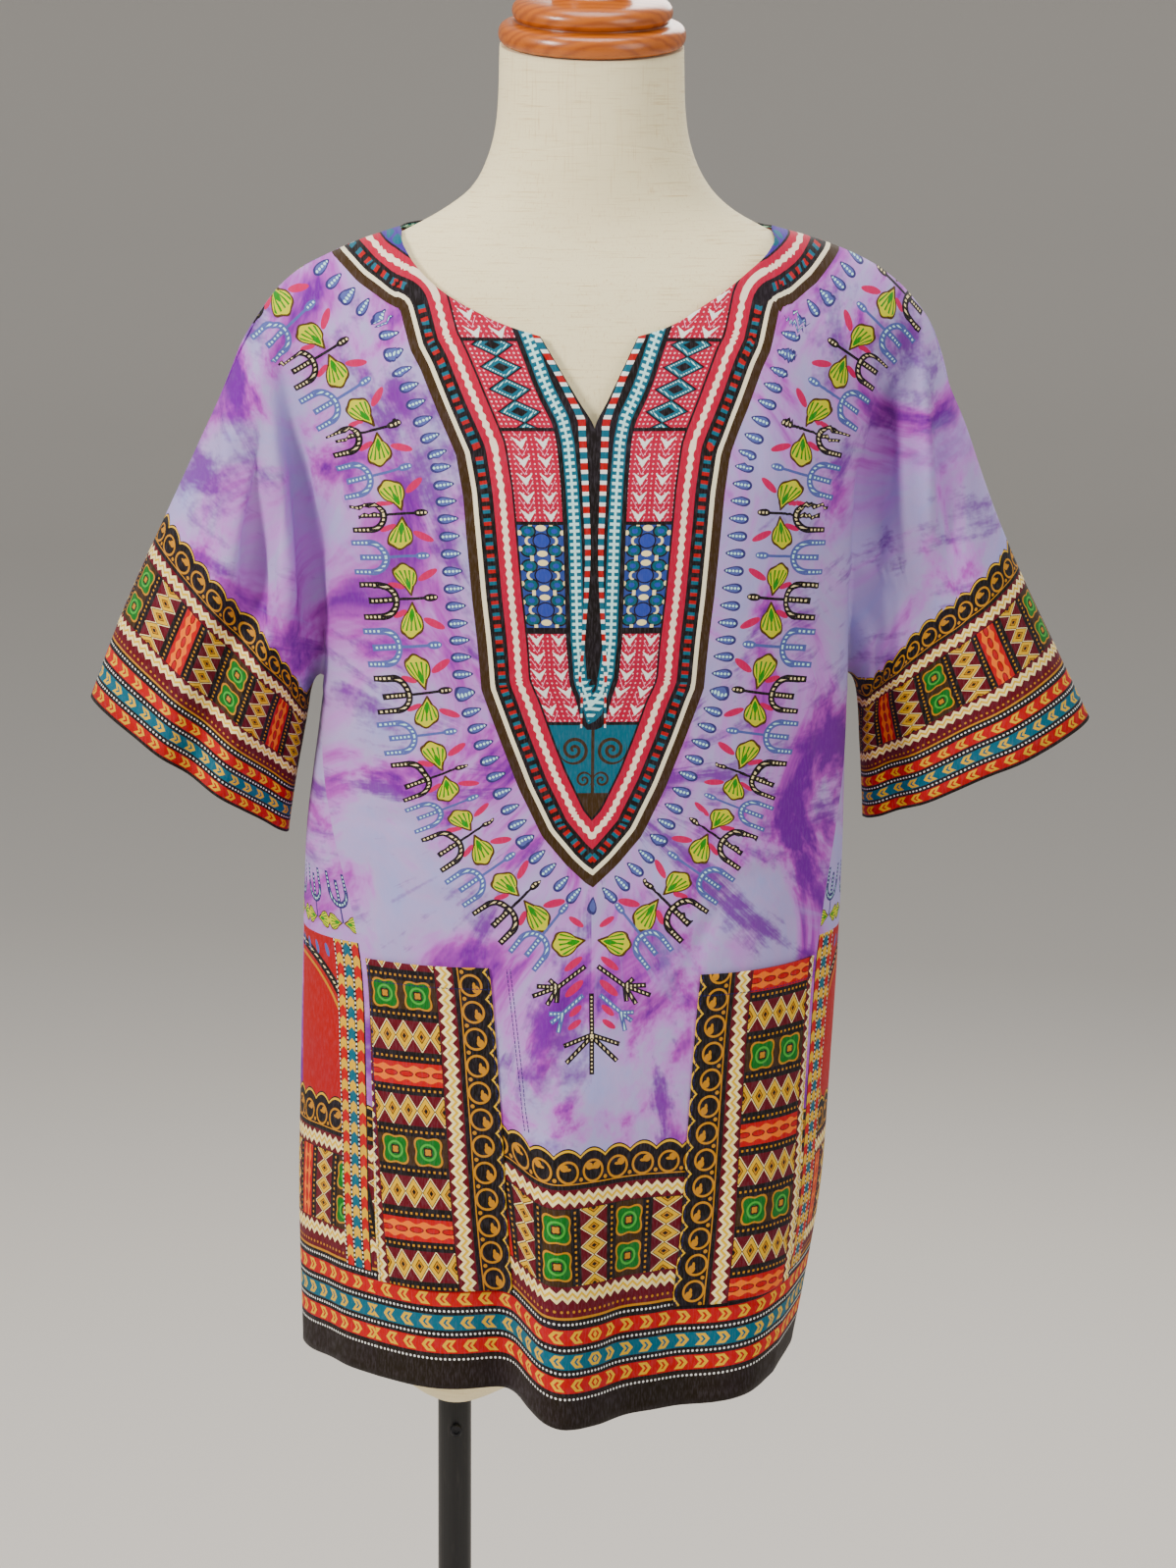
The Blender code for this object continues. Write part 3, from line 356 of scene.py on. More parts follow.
def smooth(values, keys, wanted, first_slope=None):
    """Values at wanted keys on smooth curves through the given ones, along the first axis."""
    last = len(keys) - 1
    shape = (-1,) + (1,) * (values.ndim - 1)
    low = np.maximum(np.arange(last + 1) - 1, 0)
    high = np.minimum(np.arange(last + 1) + 1, last)
    slopes = (values[high] - values[low]) / (keys[high] - keys[low]).reshape(shape)
    if first_slope is not None:
        slopes[0] = first_slope
    i = np.clip(np.searchsorted(keys, wanted, side="right") - 1, 0, last - 1)
    span, gone = keys[i + 1] - keys[i], wanted - keys[i]
    if values.ndim > 1:
        span, gone = span.reshape(shape), gone.reshape(shape)
    t = gone / span
    a, b = slopes[i] * span, slopes[i + 1] * span
    rise = values[i + 1] - values[i]
    return values[i] + t * a + t * t * (3 * rise - 2 * a - b) + t**3 * (a + b - 2 * rise)


def at(named_rows, key, name):
    """Values of a named column at keys of the first column."""
    columns, rows = named_rows
    keys = rows[:, 0]
    key = np.clip(np.asarray(key, dtype=float), keys[0], keys[-1])
    return smooth(rows[:, columns.index(name)], keys, key)


def by_side(named_rows, key, side, ending=""):
    """Left column where side is below zero, right column elsewhere."""
    left, right = [at(named_rows, key, name + ending) for name in ("left", "right")]
    return np.where(np.asarray(side) < 0, left, right)


def edge_place(named_rows, key, side):
    """Distance from the middle and height of an edge at a key, on the given side."""
    return by_side(named_rows, key, side, "_x"), by_side(named_rows, key, side, "_z")


def mix(a, b, t):
    return a + (b - a) * t


def ease(low, high, value):
    t = np.clip((value - low) / (high - low), 0.0, 1.0)
    return t * t * (3.0 - 2.0 * t)


def blade(share, power):
    """Depth of a rounded section at a share of its half width."""
    rest = 1.0 - np.minimum(np.abs(share), 1.0) ** power
    return np.maximum(rest, 0.0) ** (1.0 / power)


def fold_rise(angle, height):
    """How far the body folds push the wall out at an angle from the front centre."""
    total = np.zeros_like(angle)
    for at_hem, at_top, rise, half_width, fades_at in BODY_FOLDS:
        share = np.clip((height - FOLD_FOOT) / (fades_at - FOLD_FOOT), -0.1, 1.0)
        away = (angle - mix(at_hem, at_top, share) + 180.0) % 360.0 - 180.0
        strength = (1.0 - ease(0.0, 1.0, share)) * rise
        total = total + strength * np.exp(-((away / half_width) ** 2))
    return total


def ring_point(angle, height):
    """Points of the body wall below the underarm at an angle from the front centre."""
    turn = np.radians(angle)
    side = np.where(np.sin(turn) >= 0.0, 1.0, -1.0)
    half = by_side(BODY, height, side)
    deep = np.where(np.cos(turn) > 0, at(BODY, height, "front"), at(BODY, height, "back"))
    power = at(BODY, height, "square")
    lift = fold_rise(angle, height)
    x = side * half * np.abs(np.sin(turn)) ** (2.0 / power) + lift * np.sin(turn)
    y = -deep * np.sign(np.cos(turn)) * np.abs(np.cos(turn)) ** (2.0 / power) - lift * np.cos(turn)
    shift = SEAM_PLANE * ease(UNDERARM - 0.12, UNDERARM, height) * np.abs(np.sin(turn)) ** 4
    return x, y + shift, height


def body_depth(x, z, face):
    return at(BODY, z, face) * blade(x / by_side(BODY, z, x), at(BODY, z, "square"))


def sleeve_depth(x, z):
    """Depth of the sleeve in front of its own middle plane, without folds."""
    out = by_side(SLEEVE, z, x, "_out")
    inner = by_side(SLEEVE, z, x, "_in")
    share = (np.abs(x) - 0.5 * (out + inner)) / (0.5 * (out - inner))
    return at(SLEEVE, z, "depth") * blade(share, 2.0)


def sheet_depth(x, z, face):
    """Depth of the whole sheet above the underarm: body and sleeve flow into each other."""
    a = np.maximum(body_depth(x, z, face), 0.0)
    b = np.maximum(sleeve_depth(x, z), 0.0)
    return (a**SMOOTH_EDGE + b**SMOOTH_EDGE) ** (1.0 / SMOOTH_EDGE)


def rolled(depth, away):
    """Depth close to a folded edge, where the cloth turns straight back."""
    share = np.minimum(away / ROLL_WIDTH, 1.0)
    roll = ROLL_DEPTH * np.sqrt(np.maximum(1.0 - (1.0 - share) ** 2, 0.0))
    return (np.maximum(depth, 0.0) ** SMOOTH_EDGE + roll**SMOOTH_EDGE) ** (1.0 / SMOOTH_EDGE)


def sheet_point(x, z, depth, face):
    """Points in front of or behind the seam plane."""
    plane = SEAM_PLANE * ease(0.10, 0.17, np.abs(x)) * (1.0 - ease(1.30, 1.36, z) * 0.5)
    return x, plane + (-depth if face == "front" else depth), z


def armhole_bow(side, z):
    """How far the body's edge stands off a straight line from the underarm to the shoulder."""
    low = by_side(BODY, UNDERARM, side)
    high = by_side(SHOULDER, 1.0, side, "_x")
    share = (z - UNDERARM) / (ARMHOLE_TOP - UNDERARM)
    line = mix(low, high, share)
    near = ease(0.0, 0.1, share) * (1.0 - ease(0.80, 1.0, share))
    return (by_side(BODY, z, side) - line) * near


def upper_point(side, share, t, face):
    """Points between the underarm level and the neckline or shoulder line."""
    angle = 90.0 * share if face == "front" else 180.0 - 90.0 * share
    foot_x, foot_y, foot_z = ring_point(side * angle, np.full_like(share, UNDERARM))
    along = np.clip(share / NECK_SHARE, 0.0, 1.0)
    past_neck = np.clip((share - NECK_SHARE) / (1.0 - NECK_SHARE), 0.0, 1.0)
    if face == "front":
        neck_x, neck_z = edge_place(NECKLINE, along, side)
    else:
        wider = by_side(SHOULDER, 0.0, side, "_x") / at(NECKLINE, 1.0, "back_x")
        neck_x = at(NECKLINE, along, "back_x") * wider
        neck_z = at(NECKLINE, along, "back_z")
    in_neck = share <= NECK_SHARE
    shoulder_x, shoulder_z = edge_place(SHOULDER, past_neck, side)
    top_x = np.where(in_neck, neck_x, shoulder_x)
    top_z = np.where(in_neck, neck_z, shoulder_z)
    round_off = ease(NECK_SHARE - 0.18, NECK_SHARE + 0.20, share)
    rise = mix(t, np.sin(0.5 * math.pi * t), round_off)
    z = mix(foot_z, top_z, rise)
    x = mix(np.abs(foot_x), top_x, rise)
    if face == "front":
        closed = side * FRONT_CENTRE * ease(UNDERARM, 1.16, z)
        opened = np.maximum(z - SLIT_FOOT, 0.0) / (SLIT_TOP - SLIT_FOOT)
        x = mix(mix(closed, top_x, opened), x, ease(0.0, 0.20, share))
        beside = ease(0.53, NECK_SHARE, share) * (1.0 - ease(NECK_SHARE, 0.95, share))
        x = x + NECK_FLARE * rise**30 * (1.0 - rise) * beside
    x = side * (x + armhole_bow(side, z) * share**3)
    depth = sheet_depth(x, z, face)
    edge = np.where(t < 1.0, rolled(depth, np.hypot(top_x - np.abs(x), top_z - z)), 0.0)
    depth = np.where(share >= NECK_SHARE, edge, depth)
    px, py, pz = sheet_point(x, z, depth, face)
    foot = t <= 0.0
    return np.where(foot, foot_x, px), np.where(foot, foot_y, py), np.where(foot, foot_z, pz)


def lower_point(side, share, v, face):
    """Points between the hem and the underarm level."""
    if face == "front":
        hump = share * (1.0 - share) / (POCKET_SHARE * (1.0 - POCKET_SHARE))
        share = share + (by_side(POCKET_EDGE, v, side) - POCKET_SHARE) * hump
    angle = np.full_like(share, 90.0)
    height = np.full_like(share, UNDERARM)
    for _ in range(4):
        seam = by_side(SIDE_SEAM, height, side)
        angle = side * (seam * share if face == "front" else 180.0 - (180.0 - seam) * share)
        hem = at(HEM, (angle + 180.0) % 360.0 - 180.0, "height")
        height = mix(hem, UNDERARM, v)
    return ring_point(angle, height)


def sleeve_fold(side, face, across, along):
    total = np.zeros_like(across)
    for middle, drift, rise, width in SLEEVE_FOLDS[side, face]:
        total = total + rise * np.exp(-(((across - middle - drift * along) / width) ** 2))
    gone_at_edges = np.sin(math.pi * np.clip(across, 0.0, 1.0)) ** 0.5
    return total * ease(0.0, 0.35, along) * gone_at_edges


def sleeve_point(side, along, t, face):
    """Points of the sleeve from the armhole line 0 to the cuff 1, underarm 0 to overarm 1."""
    foot_x, foot_z = edge_place(UNDERSLEEVE, along, side)
    top_x, top_z = edge_place(OVERARM, along, side)
    first = np.sin(0.5 * math.pi * t)
    even = 0.5 - 0.5 * np.cos(math.pi * t)
    rise = mix(first, even, ease(0.0, 0.5, along))
    x = mix(foot_x, top_x, rise)
    z = mix(foot_z, top_z, rise)
    x = side * (x + armhole_bow(side, z) * (1.0 - ease(0.0, 0.45, along)))
    depth = sheet_depth(x, z, face)
    depth = depth + sleeve_fold(side, face, 1.0 - rise, along) * ease(0.0, 0.012, depth)
    near_foot = np.hypot(np.abs(x) - foot_x, z - foot_z)
    near_top = np.hypot(np.abs(x) - top_x, z - top_z)
    depth = rolled(depth, np.minimum(near_foot, near_top))
    depth = np.where((t <= 0.0) | (t >= 1.0), 0.0, depth)
    px, py, pz = sheet_point(x, z, depth, face)
    ux, uy, uz = upper_point(side, np.ones_like(t), t, face)
    join = along <= 0.0
    return np.where(join, ux, px), np.where(join, uy, py), np.where(join, uz, pz)


def coarse_body(side, face):
    """The solids' own points of one half of the front or back, hem to neckline and shoulder."""
    columns = FRONT_COLUMNS if face == "front" else BACK_COLUMNS
    share, v = np.meshgrid(columns, LOWER_ROWS[:-1])
    low = np.stack(lower_point(side, share, v, face), axis=-1)
    share, t = np.meshgrid(columns, UPPER_ROWS)
    high = np.stack(upper_point(side, share, t, face), axis=-1)
    return np.concatenate([low, high])


def place_of(keys, key):
    """Place in a rising row of keys where one of them stands."""
    return int(np.searchsorted(keys, key - 1e-6))


def fine_body(face):
    """Fine grids of the left and right half of the front or back."""
    columns = FRONT_COLUMNS if face == "front" else BACK_COLUMNS
    coarse = {side: coarse_body(side, face) for side in (-1, 1)}
    row_keys = np.concatenate([LOWER_ROWS[:-1] * LOWER_RUN, LOWER_RUN + UPPER_ROWS * UPPER_RUN])
    new_keys = np.concatenate([LOW_LEVELS[:-1] * LOWER_RUN, LOWER_RUN + HIGH_LEVELS * UPPER_RUN])
    made = {}
    for side in (-1, 1):
        here, other = coarse[side], coarse[-side]
        meet = np.linalg.norm(here[:, 0] - other[:, 0], axis=-1) < 1e-6
        through = (here[:, 1] - other[:, 1]) / (2.0 * columns[1])
        edge = (here[:, 1] - here[:, 0]) / columns[1]
        slope = np.where(meet[:, None], through, edge)
        wide = smooth(here.swapaxes(0, 1), columns, SHARES, slope)
        made[side] = smooth(wide.swapaxes(0, 1), row_keys, new_keys)
    slit_foot = LOWER_RUN + SLIT_ROW * UPPER_RUN + 1e-6
    closed = (new_keys <= slit_foot) | (face == "back")
    made[-1][closed, 0] = made[1][closed, 0] = 0.5 * (made[-1][closed, 0] + made[1][closed, 0])
    return made


def fine_sleeve(side, face):
    along, t = np.meshgrid(SLEEVE_COLUMNS, UPPER_ROWS)
    coarse = np.stack(sleeve_point(side, along, t, face), axis=-1)
    wide = smooth(coarse.swapaxes(0, 1), SLEEVE_COLUMNS, ALONGS)
    return smooth(wide.swapaxes(0, 1), UPPER_ROWS, HIGH_LEVELS)


def cloth_grids():
    """All eight grids of the body cloth, with the same points where two of them meet."""
    grids = {}
    for face in ("front", "back"):
        body = fine_body(face)
        for side in (-1, 1):
            grids[face, side, "body"] = body[side]
            grids[face, side, "sleeve"] = fine_sleeve(side, face)
    low = len(LOW_LEVELS)
    neck = place_of(SHARES, NECK_SHARE)
    for side in (-1, 1):
        front = grids["front", side, "body"]
        back = grids["back", side, "body"]
        back[:low, -1], back[-1, neck:] = front[:low, -1], front[-1, neck:]
        for face in ("front", "back"):
            grids[face, side, "sleeve"][:, 0] = grids[face, side, "body"][low - 1 :, -1]
        for row in (0, -1):
            grids["back", side, "sleeve"][row] = grids["front", side, "sleeve"][row]
    for points in grids.values():
        points[..., 0] -= MIDDLE
    return grids


def run_along(points, axis):
    """Length of cloth from the first line of a grid to each point, in millimetres."""
    steps = np.linalg.norm(np.diff(points, axis=axis), axis=-1)
    zero = np.zeros_like(np.take(steps, [0], axis=axis))
    return 1000.0 * np.concatenate([zero, np.cumsum(steps, axis=axis)], axis=axis)


def line_distance(line, out, height):
    """Distance to a line of points and the run along it to the nearest place, in metres."""
    line = np.array(line)
    nearest = np.full(out.shape, 9.0)
    run = np.zeros(out.shape)
    gone = 0.0
    for (ax, az), (bx, bz) in zip(line[:-1], line[1:]):
        length = math.hypot(bx - ax, bz - az)
        ux = (bx - ax) / length
        uz = (bz - az) / length
        along = np.clip((out - ax) * ux + (height - az) * uz, 0.0, length)
        away = np.hypot(out - ax - along * ux, height - az - along * uz)
        closer = away < nearest
        nearest = np.where(closer, away, nearest)
        run = np.where(closer, gone + along, run)
        gone += length
    return nearest, run


def inside_line(line, out, height):
    """1 where a point lies between the print's centre and the line, and -1 outside."""
    line = np.array(line)
    edge = np.interp(height, line[:, 1], line[:, 0])
    within = (out < edge) & (height > line[0, 1])
    return np.where(within, 1.0, -1.0)


def beside_line(line, out, z):
    """Distance in from a line, below zero outside it, and the run along it, in millimetres."""
    away, run = line_distance(line, out, z)
    return away * inside_line(line, out, z) * 1000.0, run * 1000.0


def stripe_line(points, z, out, kind):
    """How far out from the print's centre the blocks beside the slit stand, in metres."""
    if kind == "sleeve":
        return np.zeros_like(z)
    heights, away = np.array(SLIT_STRIPE).T
    return np.interp(z, points[:, 0, 2], out[:, 0]) + np.interp(z, heights, away)


def front_print(points, kind, out, z):
    """Places in the yoke, the ring of sprigs and the ladder on the front."""
    height, tip = z * 1000.0, YOKE_EDGE[0][1]
    p, run = beside_line(YOKE_EDGE, out, z)
    under = (run <= 0.0) & (z < tip)
    beside_drop = np.minimum(out * 1000.0 - 0.5 * DROP_PITCH, 0.0)
    yoke = (np.where(under, (z - tip) * 1000.0, p), np.where(under, beside_drop, run), height)
    inward, run = beside_line(SPRIG_LINE, out, z)
    t = np.interp(run, SPRIG_RUNS, SPRIG_PITCH * np.arange(len(SPRIG_RUNS)))
    ring = (t, -inward, stripe_line(points, z, out, kind) * 1000.0)
    inward, run = beside_line(LADDER, out, z)
    return yoke, ring, (-inward, run)


def back_print(points, kind, out, z):
    """The same places on the back, where all of them follow the back neckline."""
    if kind == "body":
        down = run_along(points[::-1], 0)[::-1]
        along_top = run_along(points[-1:], 1)
        neck = place_of(SHARES, NECK_SHARE)
        away = np.hypot(down, np.maximum(along_top - along_top[:, [neck]], 0))
    else:
        away = np.full_like(out, NO_YOKE)
    out, height = out * 1000.0, z * 1000.0
    ring = (out * 1.1, away - BACK_YOKE - BACK_SPRIGS, np.full_like(z, NO_STRIPE))
    return (BACK_YOKE - away, out, height), ring, (away - BACK_YOKE + BACK_LADDER, out)


def border_places(points, face, side, kind):
    """Places along and above the hem's border and the cuff's border."""
    zero = np.zeros_like(points[..., 0])
    nowhere = (zero, zero + NO_BORDER, zero)
    if kind == "body":
        across = side * run_along(points, 1)
        to_seam = run_along(points[:, ::-1], 1)[:, ::-1]
        from_seam = to_seam if face == "back" else zero + NO_SEAM
        return (across + 5.5, run_along(points, 0), from_seam), nowhere
    from_cuff = run_along(points[:, ::-1], 1)[:, ::-1]
    round_cuff = run_along(points[::-1, [-1]], 0)[::-1]
    stretch = mix(158.0 / 98.0, 158.0 / 132.0, ease(0.0, 1.0, HIGH_LEVELS[:, None]))
    return nowhere, (zero + round_cuff, 21.0 + from_cuff * stretch, zero)


def print_places(points, face, side, kind):
    """Where each point lies in the print, in millimetres, for each of the print's parts."""
    x, z = points[..., 0], points[..., 2]
    out = np.abs(x - PRINT_CENTRE)
    drawn = front_print if face == "front" else back_print
    yoke, ring, ladder = drawn(points, kind, out, z)
    hem, cuff = border_places(points, face, side, kind)
    flat = (x * 1000.0, z * 1000.0, 0.0 if face == "front" else BACK_FACE)
    ladder = (*ladder, (x - PRINT_CENTRE) * 1000.0)
    named = {
        "yoke_place": yoke, "ring_place": ring, "ladder_place": ladder, "hem_place": hem,
        "cuff_place": cuff, "flat_place": flat,
    }
    return {name: np.stack(np.broadcast_arrays(*rows), axis=-1) for name, rows in named.items()}


def quads(rows, columns, flipped):
    """Corners of a grid's faces as places in its list of points."""
    index = np.arange(rows * columns).reshape(rows, columns)
    low_left = index[:-1, :-1].ravel()
    low_right = index[:-1, 1:].ravel()
    high_right = index[1:, 1:].ravel()
    high_left = index[1:, :-1].ravel()
    order = (low_left, low_right, high_right, high_left)
    return np.stack(order[::-1] if flipped else order, axis=-1)


def corner_attributes(mesh, places):
    """Store the print places on the mesh's face corners."""
    for name, values in places.items():
        layer = mesh.attributes.new(name, "FLOAT_VECTOR", "CORNER")
        layer.data.foreach_set("vector", np.ascontiguousarray(values, dtype=np.float32).ravel())


def crease_height(x, z, is_front):
    """How far the creases push each point out, in metres."""
    total = np.zeros_like(x)
    for face, rows in CREASES.items():
        mine = is_front if face == "front" else 1.0 - is_front
        for cx, cz, length, angle, height, half in rows:
            turn = math.radians(angle)
            dx, dz = x * 1000.0 - cx, z * 1000.0 - cz
            along = dx * math.cos(turn) + dz * math.sin(turn)
            across = -dx * math.sin(turn) + dz * math.cos(turn)
            bend = 0.00055 * along**2 * (1.0 if (cx + cz) % 2 else -1.0)
            near = np.exp(-(((across + bend) / half) ** 2))
            fade = np.clip(1.0 - np.abs(along) / (0.5 * length), 0.0, 1.0)
            total += mine * height * near * fade * fade * (3.0 - 2.0 * fade)
    return total * 0.001


def neighbours_mean(points, edges):
    total = np.zeros_like(points)
    count = np.zeros(len(points))
    for a, b in ((0, 1), (1, 0)):
        np.add.at(total, edges[:, a], points[edges[:, b]])
        np.add.at(count, edges[:, a], 1.0)
    return total / count[:, None]


def linked(name, data):
    made = bpy.data.objects.new(name, data)
    bpy.context.scene.collection.objects.link(made)
    return made


def new_piece(name, mesh, materials):
    """Link a new object, give it its materials and let it ride on the part's one body."""
    piece = linked(name, mesh)
    for made in materials:
        mesh.materials.append(made)
    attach(piece, "root")
    return piece


def smooth_shaded(mesh):
    mesh.polygons.foreach_set("use_smooth", [True] * len(mesh.polygons))


def rings_of_points(rings):
    """A mesh in the making with the points of all rings."""
    build = bmesh.new()
    return build, [[build.verts.new(point) for point in ring] for ring in rings]


def smooth_mesh(name, build):
    """Mesh of the faces built so far, shaded smooth."""
    mesh = bpy.data.meshes.new(name)
    build.to_mesh(mesh)
    build.free()
    smooth_shaded(mesh)
    return mesh


def cloth_shell(piece, thickness):
    shell = piece.modifiers.new("Cloth thickness", "SOLIDIFY")
    shell.thickness = thickness
    shell.offset = 0.0
    shell.use_even_offset = False


def print_region(places, corners):
    """Number of the print's part that each face lies in: field, yoke, hem border or cuff border."""
    named = (("yoke", 0), ("hem", 1), ("cuff", 1), ("hem", 2), ("flat", 1))
    p, hem, cuff, from_seam, level = [
        places[name + "_place"][..., i].ravel()[corners].mean(axis=1) for name, i in named
    ]
    beside_seam = (from_seam < 92.0) & (level < 958.0) & (hem >= BORDER)
    region = np.where(p > 14.0, 1, 0)
    region = np.where((hem < BORDER) | beside_seam, 2, region)
    return np.where(cuff < BORDER, 3, region)


def body_cloth_mesh(crease_strength):
    """One continuous cloth with its print places, material regions and creases."""
    grids = cloth_grids()
    corner_values = {}
    points, faces, regions, fronts = [], [], [], []
    start = 0
    for (face, side, kind), grid in grids.items():
        rows, columns = grid.shape[:2]
        corners = quads(rows, columns, (side > 0) == (face == "back"))
        places = print_places(grid, face, side, kind)
        for name, values in places.items():
            corner_values.setdefault(name, []).append(values.reshape(-1, 3)[corners])
        regions.append(print_region(places, corners))
        points.append(grid.reshape(-1, 3))
        fronts.append(np.full(rows * columns, 1.0 if face == "front" else 0.0))
        faces.append(corners + start)
        start += rows * columns
    points, faces, fronts = [np.concatenate(parts) for parts in (points, faces, fronts)]
    keys = np.round(points * 1e6).astype(np.int64)
    _, first, index = np.unique(keys, axis=0, return_index=True, return_inverse=True)
    index = index.ravel()
    points = points[first]
    fronts = fronts[first]
    faces = index[faces]
    mesh = bpy.data.meshes.new("body_cloth")
    mesh.from_pydata(points.tolist(), [], faces.tolist())
    edges = np.empty(len(mesh.edges) * 2, dtype=np.int64)
    mesh.edges.foreach_get("vertices", edges)
    edges = edges.reshape(-1, 2)
    sides = np.sort(np.stack([faces, np.roll(faces, -1, axis=1)], axis=-1).reshape(-1, 2), axis=1)
    used, count = np.unique(sides, axis=0, return_counts=True)
    held = np.zeros(len(points), dtype=bool)
    held[used[count == 1].ravel()] = True
    for _ in range(2):
        mean = neighbours_mean(points, edges)
        points = np.where(held[:, None], points, mix(points, mean, 0.5))
    mesh.vertices.foreach_set("co", points.ravel())
    mesh.update()
    normals = np.empty(len(points) * 3)
    mesh.vertex_normals.foreach_get("vector", normals)
    lift = crease_strength * crease_height(points[:, 0], points[:, 2], fronts)
    points = points + normals.reshape(-1, 3) * lift[:, None]
    mesh.vertices.foreach_set("co", points.ravel())
    mesh.polygons.foreach_set("material_index", np.concatenate(regions).astype(np.int32))
    smooth_shaded(mesh)
    corner_attributes(mesh, {name: np.concatenate(rows) for name, rows in corner_values.items()})
    mesh.update()
    return mesh


def pocket_mesh(name, side, crease_strength):
    """Patch pocket on the front's own fine grid, moved out, its top standing off a little."""
    grid = cloth_grids()["front", side, "body"]
    first, last = place_of(SHARES, POCKET_SHARE), place_of(SHARES, POCKET_OUTER)
    foot, head = place_of(LOW_LEVELS, POCKET_FOOT), place_of(LOW_LEVELS, POCKET_HEAD)
    across = np.gradient(grid, axis=1)
    up = np.gradient(grid, axis=0)
    normal = np.cross(across, up) * (1.0 if side > 0 else -1.0)
    normal /= np.maximum(np.linalg.norm(normal, axis=-1, keepdims=True), 1e-12)
    for _ in range(6):
        inner = normal[1:-1, 1:-1] + normal[:-2, 1:-1] + normal[2:, 1:-1]
        normal[1:-1, 1:-1] = inner + normal[1:-1, :-2] + normal[1:-1, 2:]
        normal /= np.maximum(np.linalg.norm(normal, axis=-1, keepdims=True), 1e-12)
    rows = slice(foot, head + 1)
    columns = slice(first, last + 1)
    lift = crease_strength * crease_height(grid[..., 0], grid[..., 2], np.ones(grid.shape[:2]))
    base = grid + normal * lift[..., None]
    points = base[rows, columns]
    normal = normal[rows, columns]
    down = run_along(points[::-1], 0)[::-1]
    inward = run_along(points, 1)
    wide = inward[:, -1:]
    middle = np.sin(math.pi * np.clip(inward / wide, 0.0, 1.0))
    gape = 0.0016 * middle * np.exp(-((down / 26.0) ** 2))
    slack = 0.0009 * middle * np.sin(inward / 17.0 + side + down / 41.0) ** 2
    out = POCKET_GAP + 0.0004 + gape + slack * (1.0 - np.exp(-down / 30.0))
    points = points + normal * out[..., None]
    for _ in range(2):
        steps = np.arange(len(points), dtype=float)
        fine = np.linspace(0.0, steps[-1], 2 * len(steps) - 1)
        points = smooth(points, steps, fine).swapaxes(0, 1)
    down = run_along(points[::-1], 0)[::-1]
    inward = run_along(points, 1)
    corners = quads(points.shape[0], points.shape[1], side < 0)
    mesh = bpy.data.meshes.new(name)
    mesh.from_pydata(points.reshape(-1, 3).tolist(), [], corners.tolist())
    wide = inward[:, -1:] + 0.0 * inward
    place = np.stack([down, inward, wide], axis=-1).reshape(-1, 3)[corners]
    flat = np.stack([points[..., 0], points[..., 2], 0.0 * down], axis=-1) * 1000.0
    flat = flat.reshape(-1, 3)[corners]
    corner_attributes(mesh, {"pocket_place": place, "flat_place": flat})
    smooth_shaded(mesh)
    mesh.update()
    return mesh


def form_ring(height, count):
    middle = at(FORM, height, "middle")
    slim = 0.0006 * ease(1.28, 1.32, height)
    half = at(FORM, height, "half") - slim
    power = at(FORM, height, "square")
    turn = 2.0 * math.pi * np.arange(count) / count
    front = at(FORM, height, "front") - slim
    back = at(FORM, height, "back") - slim
    deep = np.where(np.cos(turn) > 0, front, back)
    x = middle + half * np.sign(np.sin(turn)) * np.abs(np.sin(turn)) ** (2.0 / power)
    y = -deep * np.sign(np.cos(turn)) * np.abs(np.cos(turn)) ** (2.0 / power)
    lean = math.tan(CAP_TILT) * y * ease(1.38, 1.47, height)
    return np.stack([x - MIDDLE, y, height + lean], axis=-1)


def form_mesh(name, count):
    """Smooth limbless torso, closed at the neck and rounded under the hips."""
    heights = joined((FORM_FOOT, 1.28, 84), (1.28, 1.40, 36), (1.40, 1.471, 16))
    foot = form_ring(FORM_FOOT, count)
    centre = np.array([-0.018 - MIDDLE, 0.0, FORM_FOOT])
    rings = []
    for share in FOOT_SHARES:
        ring = centre + (foot - centre) * share
        lobe = np.exp(-(((np.abs(ring[:, 0] - centre[0]) - 0.079) / 0.050) ** 2))
        dome = max(1.0 - share**2.4, 0.0) ** 0.55
        ring[:, 2] = FORM_FOOT - dome * (0.016 + 0.040 * lobe)
        rings.append(ring)
    rings += [form_ring(height, count) for height in heights]
    top = rings[-1]
    for share in (0.985, 0.94, 0.80):
        rings.append(top.mean(axis=0) + (top - top.mean(axis=0)) * share)
    build, loops = rings_of_points(rings)
    for low, high in zip(loops, loops[1:]):
        for i in range(count):
            j = (i + 1) % count
            build.faces.new((low[i], low[j], high[j], high[i]))
    build.faces.new(loops[-1])
    build.faces.new(loops[0][::-1])
    bmesh.ops.recalc_face_normals(build, faces=build.faces)
    return smooth_mesh(name, build)


def turned_mesh(name, profile, steps):
    """Round piece turned from a profile of radius and height, from the top to the bottom."""
    rings = []
    for radius, height in profile:
        turns = [2.0 * math.pi * i / steps for i in range(steps if radius >= 1e-6 else 1)]
        rings.append([(radius * math.cos(a), radius * math.sin(a), height) for a in turns])
    build, loops = rings_of_points(rings)
    for upper, lower in zip(loops, loops[1:]):
        for i in range(steps):
            j = (i + 1) % steps
            if len(upper) == 1:
                build.faces.new((upper[0], lower[i], lower[j]))
            elif len(lower) == 1:
                build.faces.new((upper[i], lower[0], upper[j]))
            else:
                build.faces.new((upper[i], lower[i], lower[j], upper[j]))
    bmesh.ops.recalc_face_normals(build, faces=build.faces)
    return smooth_mesh(name, build)


